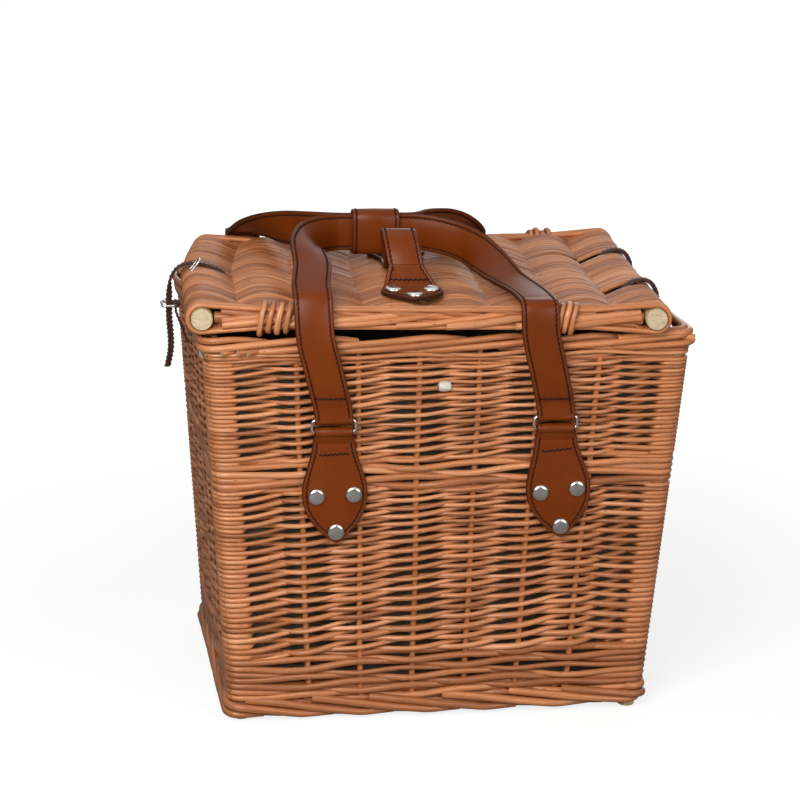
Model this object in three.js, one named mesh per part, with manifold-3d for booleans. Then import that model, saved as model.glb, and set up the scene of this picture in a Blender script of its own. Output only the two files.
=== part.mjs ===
import * as THREE from 'three';
import { mergeVertices } from 'three/addons/utils/BufferGeometryUtils.js';
import Module from 'manifold-3d';

// Wicker picnic basket with a lid hinged at its right edge, two leather carry straps that meet
// in one grip above the lid, a short strap handle on the lid and a lace closure at the left.
// Millimetres, +X right, +Y back, +Z up. The origin is on the floor, under the middle of the
// whole outline seen from above.

// Fit between pieces that touch
const GAP = 0.3;

// Steps in a curve of an outline, and in the round corner of a bar
const ARC_STEPS = 5;
const CORNER_STEPS = 2;

// Steps along a carry strap, the lid handle, the closure's tail, its keeper and its prong
const STRAP_STEPS = 48;
const HANDLE_STEPS = 24;
const TAIL_STEPS = 20;
const KEEPER_STEPS = 12;
const PRONG_STEPS = 8;

// Body, outer sizes of the woven walls
const RIM_WIDTH = 360;
const RIM_DEPTH = 252;
const BASE_WIDTH = 316;
const BASE_DEPTH = 230;
const WALL_TOP = 285;
const WALL_THICKNESS = 9;

// Corner posts, with the weavers wrapped round them, and the pegs they end in
const COLUMN_RADIUS = 11;
const PEG_RADIUS = 5;
const COLUMN_SIDES = 14;

// Woven walls: tight flat bands, with the weave swelling over the stakes between them
const BASE_WALE_TOP = 48;
const MIDDLE_WALE_LOW = 181;
const MIDDLE_WALE_HIGH = 200;
const WALE_FADE = 6;
const STAKE_RELIEF = 3.3;
const RIB_STEPS = 4;
const LONG_WALL_STAKES = 6;
const SHORT_WALL_STAKES = 4;

// Borders of thick rods at the foot and the rim, and the woven base
const BORDER_BEVEL = 3;
const FOOT_HEIGHT = 14;
const FOOT_OUTSET = 4;
const FOOT_INSET = 5;
const RIM_HEIGHT = 12;
const RIM_OUTSET = 4;
const RIM_INSET = 10;
const BASE_THICKNESS = 10;

// Cloth liner
const LINER_THICKNESS = 1.5;
const LINER_BELOW_RIM = 14;

// Leather laces at the hinge and the closure
const LACE_WIDTH = 6;
const LACE_THICKNESS = 2.5;
const HINGE_LACE_Y = 55;

// Lid
const LID_DEPTH = 262;
const LATCH_INSET = 6;
const HINGE_INSET = 24;
const LID_SKEW = THREE.MathUtils.degToRad(-3);
const ROD_RADIUS = 8;
const ROD_WRAP = 3.2;
const ROD_SIDES = 24;
const PANEL_ABOVE = 3.5;
const PANEL_BELOW = 6;
const PANEL_RELIEF = 6;
const LID_STAKES = 6;
const LID_BORDER_DEPTH = 12;
const LID_BORDER_CORNER = 4;
const SLOT_MARGIN = 1.5;
const BINDING_THICKNESS = 3;
const BINDING_WIDTH = 18;
const BINDING_FROM_ROD = 52;

// Leather straps, tabs and rivets
const STRAP_WIDTH = 28;
const STRAP_THICKNESS = 3.2;
const LEATHER = 2;
const TAB_WIDTH = 48;
const TAB_DROP = 90;
const TAB_SHOULDER = 30;
const TAB_CHEEK = 52;
const TAB_THICKNESS = 4;
const FRONT_LEFT_TAB_INSET = 95;
const FRONT_RIGHT_TAB_INSET = 101;
const BACK_LEFT_TAB_INSET = 70;
const BACK_RIGHT_TAB_INSET = 126;
const RING_BELOW_WALL_TOP = 59;
const WIRE_RADIUS = 1.25;
const WIRE_FIT = 0.4;
const WIRE_SIDES = 8;
const RING_HEIGHT = 9;
const RING_SIDE_GAP = 0.8;
const RING_CORNER = 3;
const RIVET_RADIUS = 6.3;
const RIVET_HEIGHT = 2.4;
const RIVET_SIDES = 12;
const SHANK_RADIUS = 2;
const RIVET_SPREAD = 27.5;
const RIVET_ROW = 52;
const RIVET_TIP = 80;

// Grip wrap that holds both straps, above the lid
const WRAP_X = -37;
const WRAP_Y = 12;
const WRAP_LENGTH = 36;
const WRAP_THICKNESS = 2.5;
const WRAP_SLACK = 0.8;
const WRAP_MOUTH = 2;
const STRAP_HOVER = 13;
const STRAP_EASE = 10;

// The way a strap's width runs: level, standing on edge, and between
const LEVEL = [1, 0, 0];
const LEVEL_BACK = [-1, 0, 0];
const ON_EDGE = [0, 0, -1];
const DEPTHWAYS = [0, 1, 0];

// A strap's leg up the wall, as shares of its way sideways, outward and up to the rim's top
const LEG_WAY = [[0.4, 0.75, 0.67], [0.8, 1, 1]];

// Then over the lid's edge: inward from the edge, and the share of the lift
const EDGE_WAY = [[3, 0.6], [14, 1]];

// How far a leg leans sideways up to the lid's edge, and its lift above the lid there
const FRONT_LEFT_LEG = [-10, 13];
const FRONT_RIGHT_LEG = [-10, 4];
const BACK_LEFT_LEG = [-15, 12];
const BACK_RIGHT_LEG = [2, 10];

// Then over the lid: shares of the way to the grip wrap sideways, inward and up, and the width
const FRONT_LEFT_WAY = [
  [-0.24, 0.34, 0.8, LEVEL],
  [-0.22, 0.59, 1.05, [1, 0, -0.4]],
  [-0.02, 0.84, 1.04, [0.5, 0, -0.9]],
];
const FRONT_RIGHT_WAY = [
  [0.11, 0.2, 0.22, LEVEL_BACK],
  [0.2, 0.43, 0.4, [-0.9, 0, -0.4]],
  [0.38, 0.67, 0.76, [-0.3, 0, -1]],
  [0.59, 0.86, 0.93, ON_EDGE],
];
const BACK_LEFT_WAY = [
  [-0.1, 0.33, 0.7, [0.8, 0, -0.5]],
  [0.18, 0.65, 0.9, [0.2, 0, -1]],
];
const BACK_RIGHT_WAY = [
  [0.1, 0.28, 0.6, [-0.8, 0, -0.5]],
  [0.3, 0.55, 0.86, [-0.2, 0, -1]],
  [0.52, 0.81, 0.97, ON_EDGE],
];

// Lid handle
const HANDLE_X = -16;
const HANDLE_WIDTH = 26;
const HANDLE_FRONT_Y = -54;
const HANDLE_BACK_Y = 26;
const HANDLE_RISE = 26;
const HANDLE_END_LENGTH = 46;
const HANDLE_END_WIDTH = 46;
const HANDLE_SHOULDER = 9;
const HANDLE_CHEEK = 23;
const HANDLE_LAP = 12;
const HANDLE_RIVET_ROW = 19;
const HANDLE_RIVET_TIP = 36;

// The handle's arch: shares of its way back, and of its rise
const HANDLE_WAY = [[0, 0.08], [0.2, 0.7], [0.38, 1], [0.56, 0.55], [0.72, 0.14], [0.88, 0.02]];

// Closure
const CLOSURE_Y = 4;
const BUCKLE_DROP = 19;
const BUCKLE_WIRE = 1;
const BUCKLE_EYE_WALL = 1.8;
const BUCKLE_WIDTH = 16;
const TAIL_OUT = 20;
const TAIL_LENGTH = 68;
const TAIL_STRAIGHT = 8;
const BUCKLE_BEYOND_TAIL = 5;

// The tail's bend from the rod: shares of its way out, and of the loop's height
const TAIL_WAY = [[0, 1], [0.5, 0.9], [0.9, 0.2]];
const PRONG_RADIUS = 0.9;
const PRONG_EYE_WALL = 1;
const PRONG_LEAD = 4;
const KEEPER_DROP = 30;

// Worked-out heights and places
const WIDTH_FLARE = (RIM_WIDTH - BASE_WIDTH) / 2 / WALL_TOP;
const DEPTH_FLARE = (RIM_DEPTH - BASE_DEPTH) / 2 / WALL_TOP;
const RIM_LOW = WALL_TOP + GAP;
const RIM_TOP = RIM_LOW + RIM_HEIGHT;
const WRAPPED_ROD = ROD_RADIUS + GAP + ROD_WRAP;
const LID_Z = RIM_TOP + GAP + WRAPPED_ROD;
const LID_TOP = LID_Z + PANEL_ABOVE + PANEL_RELIEF;
const LACE_FIT = 2 * GAP;
const LACE_INNER = ROD_RADIUS + LACE_FIT;
const LACE_OUTER = LACE_INNER + LACE_THICKNESS;
const RIM_HALF_WIDTH = BASE_WIDTH / 2 + WIDTH_FLARE * RIM_TOP;
const HINGE_X = RIM_WIDTH / 2 - HINGE_INSET;
const LID_LEFT_X = LATCH_INSET - RIM_WIDTH / 2;
const LID_MIDDLE_X = (HINGE_X + LID_LEFT_X) / 2;
const BINDING_LEFT_X = LID_LEFT_X + BINDING_FROM_ROD;
const BINDING_RIGHT_X = HINGE_X - BINDING_FROM_ROD;
const EYE_HOLE = WIRE_RADIUS + WIRE_FIT;
const EYE_RADIUS = EYE_HOLE + LEATHER;
const RING_Z = WALL_TOP - RING_BELOW_WALL_TOP;
const FRONT_TABS = [FRONT_LEFT_TAB_INSET - RIM_WIDTH / 2, RIM_WIDTH / 2 - FRONT_RIGHT_TAB_INSET];
const BACK_TABS = [BACK_LEFT_TAB_INSET - RIM_WIDTH / 2, RIM_WIDTH / 2 - BACK_RIGHT_TAB_INSET];
const WALL_LEAN = Math.atan(DEPTH_FLARE);
const WRAP_Z = LID_TOP + STRAP_HOVER + STRAP_WIDTH / 2;
const STRAP_OFFSET = STRAP_THICKNESS / 2 + GAP / 2;
const STRAP_CLEAR = BINDING_THICKNESS + 2 * GAP;
const WRAP_REACH = WRAP_LENGTH / 2 + WRAP_MOUTH;
const BUCKLE_Z = LID_Z - BUCKLE_DROP;
const BUCKLE_EYE = BUCKLE_WIRE + WIRE_FIT + BUCKLE_EYE_WALL;
const BUCKLE_INNER_X = -(RIM_HALF_WIDTH + RIM_OUTSET + GAP + BUCKLE_EYE);
const TAIL_X = LID_LEFT_X - TAIL_OUT;
const BUCKLE_OUTER_X = TAIL_X - BUCKLE_BEYOND_TAIL;
const LEFT_REACH = -BUCKLE_OUTER_X + BUCKLE_WIRE;
const RIGHT_REACH = RIM_HALF_WIDTH + RIM_OUTSET + LACE_FIT + LACE_THICKNESS;
const CENTRE_SHIFT = (LEFT_REACH - RIGHT_REACH) / 2;

const wasm = await Module();
wasm.setup();

const X_AXIS = new THREE.Vector3(1, 0, 0);
const Y_AXIS = new THREE.Vector3(0, 1, 0);
const Z_AXIS = new THREE.Vector3(0, 0, 1);
const basket = new THREE.Group();
basket.position.x = CENTRE_SHIFT;

// The lid and its closure, turned a little about the lid's middle
const askew = new THREE.Group();
askew.position.x = LID_MIDDLE_X;
askew.rotation.z = LID_SKEW;
basket.add(askew);
const lid = new THREE.Group();
lid.position.x = -LID_MIDDLE_X;
askew.add(lid);

// Finishes
const willow = () => new THREE.MeshStandardMaterial({ color: 0xc08a5c, roughness: 0.6, metalness: 0 });
const paleWood = () => new THREE.MeshStandardMaterial({ color: 0xcdb98c, roughness: 0.7, metalness: 0 });
const tanLeather = () => new THREE.MeshStandardMaterial({ color: 0x8b451e, roughness: 0.45, metalness: 0 });
const darkLeather = () => new THREE.MeshStandardMaterial({ color: 0x4b2d23, roughness: 0.6, metalness: 0 });
const nickel = () => new THREE.MeshStandardMaterial({ color: 0xc9c6c0, roughness: 0.25, metalness: 1 });
const greyCloth = () => new THREE.MeshStandardMaterial({ color: 0x8d8a86, roughness: 0.9, metalness: 0 });

function addPiece(parent, name, geometry, material) {
  const piece = new THREE.Mesh(geometry, material);
  piece.name = name;
  parent.add(piece);
  return piece;
}

// Solids and how they are joined and cut

function solidOf(geometry) {
  const bare = geometry.clone();
  bare.deleteAttribute('normal');
  bare.deleteAttribute('uv');
  const merged = mergeVertices(bare);
  return new wasm.Manifold(new wasm.Mesh({
    numProp: 3,
    vertProperties: new Float32Array(merged.attributes.position.array),
    triVerts: new Uint32Array(merged.index.array),
  }));
}

function geometryOf(solid) {
  const mesh = solid.getMesh();
  const geometry = new THREE.BufferGeometry();
  geometry.setAttribute('position', new THREE.BufferAttribute(mesh.vertProperties, 3));
  geometry.setIndex(new THREE.BufferAttribute(mesh.triVerts, 1));
  geometry.computeVertexNormals();
  return geometry;
}

function join(...geometries) {
  return geometryOf(geometries.map(solidOf).reduce((sum, next) => sum.add(next)));
}

function cut(geometry, ...tools) {
  return geometryOf(tools.map(solidOf).reduce((rest, tool) => rest.subtract(tool), solidOf(geometry)));
}

// Triangles of a ring's flat end, wound the same way as the ring
function endFaces(ring) {
  const normal = new THREE.Vector3();
  ring.forEach((point, i) => {
    const next = ring[(i + 1) % ring.length];
    normal.add(new THREE.Vector3().crossVectors(point, next));
  });
  normal.normalize();
  const side = Math.abs(normal.x) < 0.9 ? X_AXIS : Y_AXIS;
  const u = new THREE.Vector3().crossVectors(side, normal).normalize();
  const v = new THREE.Vector3().crossVectors(normal, u);
  const flat = ring.map((point) => new THREE.Vector2(point.dot(u), point.dot(v)));
  return THREE.ShapeUtils.triangulateShape(flat, []).map(([a, b, c]) => {
    const turn = THREE.ShapeUtils.area([flat[a], flat[b], flat[c]]);
    return turn > 0 ? [a, b, c] : [a, c, b];
  });
}

// Skin over a row of matching rings of points: capped at both ends, or closed into a loop
function loft(rings, loop = false) {
  const size = rings[0].length;
  const points = rings.flat();
  const index = [];
  const spans = loop ? rings.length : rings.length - 1;
  for (let r = 0; r < spans; r += 1) {
    const low = r * size;
    const high = ((r + 1) % rings.length) * size;
    for (let i = 0; i < size; i += 1) {
      const j = (i + 1) % size;
      index.push(low + i, low + j, high + j, low + i, high + j, high + i);
    }
  }
  if (!loop) {
    const last = (rings.length - 1) * size;
    endFaces(rings[0]).forEach(([a, b, c]) => index.push(a, c, b));
    endFaces(rings[rings.length - 1]).forEach(([a, b, c]) => index.push(last + a, last + b, last + c));
  }
  let volume = 0;
  for (let i = 0; i < index.length; i += 3) {
    const [a, b, c] = [points[index[i]], points[index[i + 1]], points[index[i + 2]]];
    volume += a.dot(new THREE.Vector3().crossVectors(b, c));
  }
  if (volume < 0) {
    index.reverse();
  }
  const geometry = new THREE.BufferGeometry().setFromPoints(points);
  geometry.setIndex(index);
  geometry.computeVertexNormals();
  return geometry;
}

function extrude(shape, depth, curveSegments) {
  return new THREE.ExtrudeGeometry(shape, { depth, bevelEnabled: false, curveSegments });
}

// A flat outline in X and Z, made thick along Y about the given middle
function slabAlongY(shape, middle, thickness, curveSegments = ARC_STEPS) {
  const geometry = extrude(shape, thickness, curveSegments);
  geometry.rotateX(Math.PI / 2);
  geometry.translate(0, middle + thickness / 2, 0);
  return geometry;
}

// A flat outline in Y and Z, made thick along X about the given middle
function slabAlongX(shape, middle, thickness, curveSegments = ARC_STEPS) {
  const geometry = extrude(shape, thickness, curveSegments);
  geometry.rotateX(Math.PI / 2);
  geometry.rotateZ(Math.PI / 2);
  geometry.translate(middle - thickness / 2, 0, 0);
  return geometry;
}

function disc(x, y, radius) {
  const shape = new THREE.Shape();
  shape.absarc(x, y, radius, 0, 2 * Math.PI, false);
  return shape;
}

// Eye of a rolled strip: a short tube whose hole takes a wire
function eyeShape(x, y, hole, radius) {
  const shape = disc(x, y, radius);
  shape.holes.push(disc(x, y, hole));
  return shape;
}

function roundedBox(left, right, low, high, radius) {
  const shape = new THREE.Shape();
  shape.absarc(right - radius, high - radius, radius, 0, Math.PI / 2, false);
  shape.absarc(left + radius, high - radius, radius, Math.PI / 2, Math.PI, false);
  shape.absarc(left + radius, low + radius, radius, Math.PI, 1.5 * Math.PI, false);
  shape.absarc(right - radius, low + radius, radius, 1.5 * Math.PI, 2 * Math.PI, false);
  shape.closePath();
  return shape;
}

// A closed band round several wheels, each with its middle and radius, taken counter-clockwise
function beltShape(wheels) {
  const tangents = wheels.map(([x, y, radius], i) => {
    const [nextX, nextY, nextRadius] = wheels[(i + 1) % wheels.length];
    const reach = Math.hypot(nextX - x, nextY - y);
    return Math.atan2(nextY - y, nextX - x) - Math.acos((radius - nextRadius) / reach);
  });
  const shape = new THREE.Shape();
  wheels.forEach(([x, y, radius], i) => {
    const from = tangents[(i + wheels.length - 1) % wheels.length];
    shape.absarc(x, y, radius, from, tangents[i], false);
  });
  shape.closePath();
  return shape;
}

function rodAlongY(x, y0, y1, z, radius, sides) {
  const geometry = new THREE.CylinderGeometry(radius, radius, y1 - y0, sides);
  geometry.translate(x, (y0 + y1) / 2, z);
  return geometry;
}

function block(x0, x1, y0, y1, z0, z1) {
  const geometry = new THREE.BoxGeometry(x1 - x0, y1 - y0, z1 - z0);
  geometry.translate((x0 + x1) / 2, (y0 + y1) / 2, (z0 + z1) / 2);
  return geometry;
}

// A flat strip along a curve. Each stop gives a point and the way the strip's width runs there.
function strip(stops, width, thickness, steps) {
  const curve = new THREE.CatmullRomCurve3(stops.map((stop) => stop.at), false, 'centripetal');
  const rings = [];
  for (let i = 0; i <= steps; i += 1) {
    const t = i / steps;
    const place = t * (stops.length - 1);
    const before = Math.min(Math.floor(place), stops.length - 2);
    const across = stops[before].across.clone().lerp(stops[before + 1].across, place - before);
    const along = curve.getTangent(t);
    across.addScaledVector(along, -across.dot(along)).normalize().multiplyScalar(width / 2);
    const out = new THREE.Vector3().crossVectors(across, along).normalize().multiplyScalar(thickness / 2);
    const at = curve.getPoint(t);
    rings.push([
      at.clone().add(across).add(out),
      at.clone().sub(across).add(out),
      at.clone().sub(across).sub(out),
      at.clone().add(across).sub(out),
    ]);
  }
  return loft(rings);
}

// A round wire bent into a closed flat loop with round corners, in the plane of u and v
function wireLoop(middle, u, v, halfU, halfV, corner, radius) {
  const normal = new THREE.Vector3().crossVectors(u, v);
  const cornerSteps = 4;
  const rings = [];
  [[1, 1], [-1, 1], [-1, -1], [1, -1]].forEach(([signU, signV], quarter) => {
    for (let i = 0; i <= cornerSteps; i += 1) {
      const turn = (quarter + i / cornerSteps) * Math.PI / 2;
      const out = u.clone().multiplyScalar(Math.cos(turn)).addScaledVector(v, Math.sin(turn));
      const centre = middle.clone()
        .addScaledVector(u, signU * (halfU - corner))
        .addScaledVector(v, signV * (halfV - corner))
        .addScaledVector(out, corner);
      rings.push(Array.from({ length: WIRE_SIDES }, (_, k) => {
        const around = 2 * Math.PI * k / WIRE_SIDES;
        return centre.clone()
          .addScaledVector(out, radius * Math.cos(around))
          .addScaledVector(normal, radius * Math.sin(around));
      }));
    }
  });
  return loft(rings, true);
}

// Outer face of the woven body at a height
const halfWidth = (z) => BASE_WIDTH / 2 + WIDTH_FLARE * z;
const halfDepth = (z) => BASE_DEPTH / 2 + DEPTH_FLARE * z;

// The body's outline at a height, pulled in by an inset, with its corners round the posts
function bodyLoop(z, inset) {
  const cornerSteps = 5;
  const radius = COLUMN_RADIUS - inset;
  const points = [];
  [[1, 1], [-1, 1], [-1, -1], [1, -1]].forEach(([signX, signY], quarter) => {
    for (let i = 0; i <= cornerSteps; i += 1) {
      const turn = (quarter + i / cornerSteps) * Math.PI / 2;
      points.push(new THREE.Vector3(
        signX * (halfWidth(z) - COLUMN_RADIUS) + radius * Math.cos(turn),
        signY * (halfDepth(z) - COLUMN_RADIUS) + radius * Math.sin(turn),
        z,
      ));
    }
  });
  return points;
}

// The same outline with its corners cut off straight, to pass inside the posts
function insideLoop(z, inset) {
  const x = halfWidth(z) - inset;
  const y = halfDepth(z) - inset;
  const chamfer = Math.SQRT2 * (COLUMN_RADIUS + 2 * GAP) + 2 * (COLUMN_RADIUS - WALL_THICKNESS);
  return [
    [x, y - chamfer], [x - chamfer, y], [chamfer - x, y], [-x, y - chamfer],
    [-x, chamfer - y], [chamfer - x, -y], [x - chamfer, -y], [x, chamfer - y],
  ].map(([px, py]) => new THREE.Vector3(px, py, z));
}

// Border ring of thick rods, between two heights and two insets
function borderRing(low, high, outset, inset) {
  const bevel = BORDER_BEVEL;
  return loft([
    bodyLoop(low, bevel - outset),
    bodyLoop(low + bevel, -outset),
    bodyLoop(high - bevel, -outset),
    bodyLoop(high, bevel - outset),
    bodyLoop(high, inset),
    bodyLoop(low, inset),
  ], true);
}

// Posts at the corners, leaning with the walls
function cornerPost(signX, signY) {
  const ring = (z, radius) => Array.from({ length: COLUMN_SIDES }, (_, i) => {
    const turn = 2 * Math.PI * i / COLUMN_SIDES;
    return new THREE.Vector3(
      signX * (halfWidth(z) - COLUMN_RADIUS) + radius * Math.cos(turn),
      signY * (halfDepth(z) - COLUMN_RADIUS) + radius * Math.sin(turn),
      z,
    );
  });
  const shoulder = FOOT_HEIGHT + GAP;
  return loft([
    ring(0, PEG_RADIUS),
    ring(shoulder, PEG_RADIUS),
    ring(shoulder, COLUMN_RADIUS),
    ring(WALL_TOP, COLUMN_RADIUS),
  ]);
}

// How far the weave swells, counted in stakes from one end: full at a stake, none halfway to the next
function swell(place) {
  return Math.abs(Math.cos(Math.PI * place));
}

// A woven wall between two posts. It swells over its stakes, except in the tight bands.
function wall(long, stakes) {
  const levels = [
    [FOOT_HEIGHT + GAP, 0],
    [BASE_WALE_TOP, 0],
    [BASE_WALE_TOP + WALE_FADE, STAKE_RELIEF],
    [MIDDLE_WALE_LOW - WALE_FADE, STAKE_RELIEF],
    [MIDDLE_WALE_LOW, 0],
    [MIDDLE_WALE_HIGH, 0],
    [MIDDLE_WALE_HIGH + WALE_FADE, STAKE_RELIEF],
    [WALL_TOP, STAKE_RELIEF],
  ];
  return loft(levels.map(([z, relief]) => {
    const end = (long ? halfWidth(z) : halfDepth(z)) - 2 * COLUMN_RADIUS - GAP;
    const face = long ? halfDepth(z) : halfWidth(z);
    const ring = [];
    for (let i = 0; i <= (stakes + 1) * RIB_STEPS; i += 1) {
      const place = i / RIB_STEPS;
      ring.push([-end + 2 * end * place / (stakes + 1), -face + relief * (1 - swell(place))]);
    }
    ring.push([end, -face + WALL_THICKNESS], [-end, -face + WALL_THICKNESS]);
    return ring.map(([along, out]) => new THREE.Vector3(along, out, z));
  }));
}

// Where a point of the lid lies, seen from above, once the lid is turned
function turned(x, y) {
  const along = x - LID_MIDDLE_X;
  return [
    LID_MIDDLE_X + along * Math.cos(LID_SKEW) - y * Math.sin(LID_SKEW),
    along * Math.sin(LID_SKEW) + y * Math.cos(LID_SKEW),
  ];
}

const BUCKLE_Y = turned(TAIL_X, CLOSURE_Y)[1];
const HINGE_LACES = [-HINGE_LACE_Y, HINGE_LACE_Y].map((y) => turned(HINGE_X, y));

// The right wall, notched at the top where the hinge laces pass under the rim
function rightWall() {
  const depth = LACE_FIT + LACE_THICKNESS;
  const half = LACE_WIDTH / 2 + GAP;
  return cut(wall(false, SHORT_WALL_STAKES), ...HINGE_LACES.map(([, y]) => block(
    y - half, y + half, -RIM_WIDTH, 0, WALL_TOP - depth, WALL_TOP + depth,
  )));
}

function addBody() {
  addPiece(basket, 'front_wall', wall(true, LONG_WALL_STAKES), willow());
  addPiece(basket, 'back_wall', wall(true, LONG_WALL_STAKES), willow()).rotation.z = Math.PI;
  addPiece(basket, 'left_wall', wall(false, SHORT_WALL_STAKES), willow()).rotation.z = -Math.PI / 2;
  addPiece(basket, 'right_wall', rightWall(), willow()).rotation.z = Math.PI / 2;
  [['front', -1], ['back', 1]].forEach(([row, signY]) => {
    [['left', -1], ['right', 1]].forEach(([side, signX]) => {
      addPiece(basket, `corner_post_${row}_${side}`, cornerPost(signX, signY), paleWood());
    });
  });
  addPiece(basket, 'foot_border', borderRing(0, FOOT_HEIGHT, FOOT_OUTSET, FOOT_INSET), willow());
  addPiece(basket, 'rim_border', borderRing(RIM_LOW, RIM_TOP, RIM_OUTSET, RIM_INSET), willow());
  const baseLow = FOOT_HEIGHT + GAP;
  const baseTop = baseLow + BASE_THICKNESS;
  const inset = WALL_THICKNESS + GAP;
  const base = loft([insideLoop(baseLow, inset), insideLoop(baseTop, inset)]);
  addPiece(basket, 'base_panel', base, willow());
  const linerLow = baseTop + GAP;
  const linerTop = WALL_TOP - LINER_BELOW_RIM;
  const liner = loft([
    insideLoop(linerLow, inset),
    insideLoop(linerTop, inset),
    insideLoop(linerTop, inset + LINER_THICKNESS),
    insideLoop(linerLow + LINER_THICKNESS, inset + LINER_THICKNESS),
  ]);
  addPiece(basket, 'liner', liner, greyCloth());
}

// Rivet with a domed cap above z = 0 and a shank below it
function rivet(shankLength) {
  const capSteps = 3;
  const profile = [new THREE.Vector2(0, -shankLength), new THREE.Vector2(SHANK_RADIUS, -shankLength)];
  profile.push(new THREE.Vector2(SHANK_RADIUS, 0));
  for (let i = 0; i <= capSteps; i += 1) {
    const turn = (i / capSteps) * Math.PI / 2;
    const radius = i === capSteps ? 0 : RIVET_RADIUS * Math.cos(turn);
    profile.push(new THREE.Vector2(radius, RIVET_HEIGHT * Math.sin(turn)));
  }
  const geometry = new THREE.LatheGeometry(profile, RIVET_SIDES);
  geometry.rotateX(Math.PI / 2);
  return geometry;
}

// Teardrop outline of a leather end: straight neck, round cheeks and a pointed tip below
function teardrop(neck, width, shoulder, cheek, drop) {
  const shape = new THREE.Shape();
  shape.moveTo(-neck / 2, 0);
  shape.lineTo(-neck / 2, -shoulder);
  shape.quadraticCurveTo(-width / 2, -(shoulder + cheek) / 2, -width / 2, -cheek);
  shape.quadraticCurveTo(-width / 2, -(cheek + drop) / 2, 0, -drop);
  shape.quadraticCurveTo(width / 2, -(cheek + drop) / 2, width / 2, -cheek);
  shape.quadraticCurveTo(width / 2, -(shoulder + cheek) / 2, neck / 2, -shoulder);
  shape.lineTo(neck / 2, 0);
  shape.closePath();
  return shape;
}

const TAB_RIVETS = [
  ['left', -RIVET_SPREAD / 2, -RIVET_ROW],
  ['right', RIVET_SPREAD / 2, -RIVET_ROW],
  ['tip', 0, -RIVET_TIP],
];

// Leather tab on a wall: a teardrop plate whose top is rolled round the ring's lower wire.
// X runs along the wall, Z up the wall from the lower wire, -Y out of the wall.
function carryTab() {
  const shape = teardrop(STRAP_WIDTH, TAB_WIDTH, TAB_SHOULDER, TAB_CHEEK, TAB_DROP);
  TAB_RIVETS.forEach(([, x, z]) => shape.holes.push(disc(x, z, SHANK_RADIUS + GAP)));
  const plate = slabAlongY(shape, -GAP - TAB_THICKNESS / 2, TAB_THICKNESS);
  const trimmed = cut(plate, block(
    -STRAP_WIDTH, STRAP_WIDTH, -2 * EYE_RADIUS, 2 * EYE_RADIUS, -EYE_HOLE - LEATHER / 2, EYE_RADIUS,
  ));
  const eye = slabAlongX(eyeShape(-GAP - EYE_RADIUS, 0, EYE_HOLE, EYE_RADIUS), 0, STRAP_WIDTH);
  return join(trimmed, eye);
}

// Wire ring between a tab and its strap
function carryRing() {
  const halfU = STRAP_WIDTH / 2 + RING_SIDE_GAP + WIRE_RADIUS;
  const middle = new THREE.Vector3(0, -GAP - EYE_RADIUS, RING_HEIGHT / 2);
  return wireLoop(middle, X_AXIS, Z_AXIS, halfU, RING_HEIGHT / 2, RING_CORNER, WIRE_RADIUS);
}

// Where the ring's upper wire lies, for a front tab at the given X
function ringTop(x) {
  const lean = new THREE.Matrix4().makeRotationX(WALL_LEAN);
  return new THREE.Vector3(x, -GAP - EYE_RADIUS, RING_HEIGHT)
    .applyMatrix4(lean)
    .add(new THREE.Vector3(0, -halfDepth(RING_Z), RING_Z));
}

function addTabs() {
  [['front', 0, FRONT_TABS], ['back', Math.PI, BACK_TABS]].forEach(([row, turn, places]) => {
    const facing = new THREE.Group();
    facing.rotation.z = turn;
    basket.add(facing);
    ['left', 'right'].forEach((side, i) => {
      const place = new THREE.Group();
      place.position.set(turn ? -places[i] : places[i], -halfDepth(RING_Z), RING_Z);
      place.rotation.x = WALL_LEAN;
      facing.add(place);
      addPiece(place, `carry_tab_${row}_${side}`, carryTab(), tanLeather());
      addPiece(place, `carry_ring_${row}_${side}`, carryRing(), nickel());
      TAB_RIVETS.forEach(([spot, x, z]) => {
        const head = addPiece(place, `tab_rivet_${row}_${side}_${spot}`, rivet(TAB_THICKNESS), nickel());
        head.position.set(x, -GAP - TAB_THICKNESS - GAP, z);
        head.rotation.x = Math.PI / 2;
      });
    });
  });
}

// How far the lid's front edge lies from the middle at an X, and its back edge likewise. The lid
// lies a little askew on the body.
function lidEdge(x, sign) {
  const along = x - LID_MIDDLE_X + sign * (LID_DEPTH / 2) * Math.sin(LID_SKEW);
  return along * Math.tan(LID_SKEW) + sign * (LID_DEPTH / 2) * Math.cos(LID_SKEW);
}

// A stop on a strap's way: a point, and the way the strap's width runs there
const stop = (x, y, z, across) => ({
  at: new THREE.Vector3(x, y, z),
  across: new THREE.Vector3(...across),
});

// Stops up a wall, from a ring's upper wire to the lid's edge and a little way in over it.
// The sign is -1 at the front and 1 at the back.
function legStops(sign, fromX, [lean, lift], across) {
  const foot = ringTop(fromX);
  foot.y *= -sign;
  const toX = fromX + lean;
  const edge = lidEdge(toX, sign) + sign * (STRAP_THICKNESS / 2 + STRAP_CLEAR);
  const rim = halfDepth(RIM_TOP) + RIM_OUTSET + STRAP_THICKNESS / 2 + STRAP_CLEAR;
  const out = sign * Math.max(Math.abs(edge), rim);
  const { lerp } = THREE.MathUtils;
  return [
    { at: foot, across: new THREE.Vector3(...across) },
    stop(fromX, foot.y + sign, foot.z + STRAP_EASE, across),
    ...LEG_WAY.map(([aside, outward, up]) => {
      return stop(fromX + lean * aside, lerp(foot.y, out, outward), lerp(foot.z, RIM_TOP, up), across);
    }),
    ...EDGE_WAY.map(([inward, share]) => stop(toX, edge - sign * inward, LID_TOP + lift * share, across)),
  ];
}

// Stops over the lid, from its edge to the grip wrap
function lidStops(sign, legX, way) {
  const { lerp } = THREE.MathUtils;
  return way.map(([aside, inward, up, across]) => stop(
    lerp(legX, WRAP_X, aside), lerp(lidEdge(legX, sign), WRAP_Y, inward), lerp(LID_TOP, WRAP_Z, up), across,
  ));
}

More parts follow.
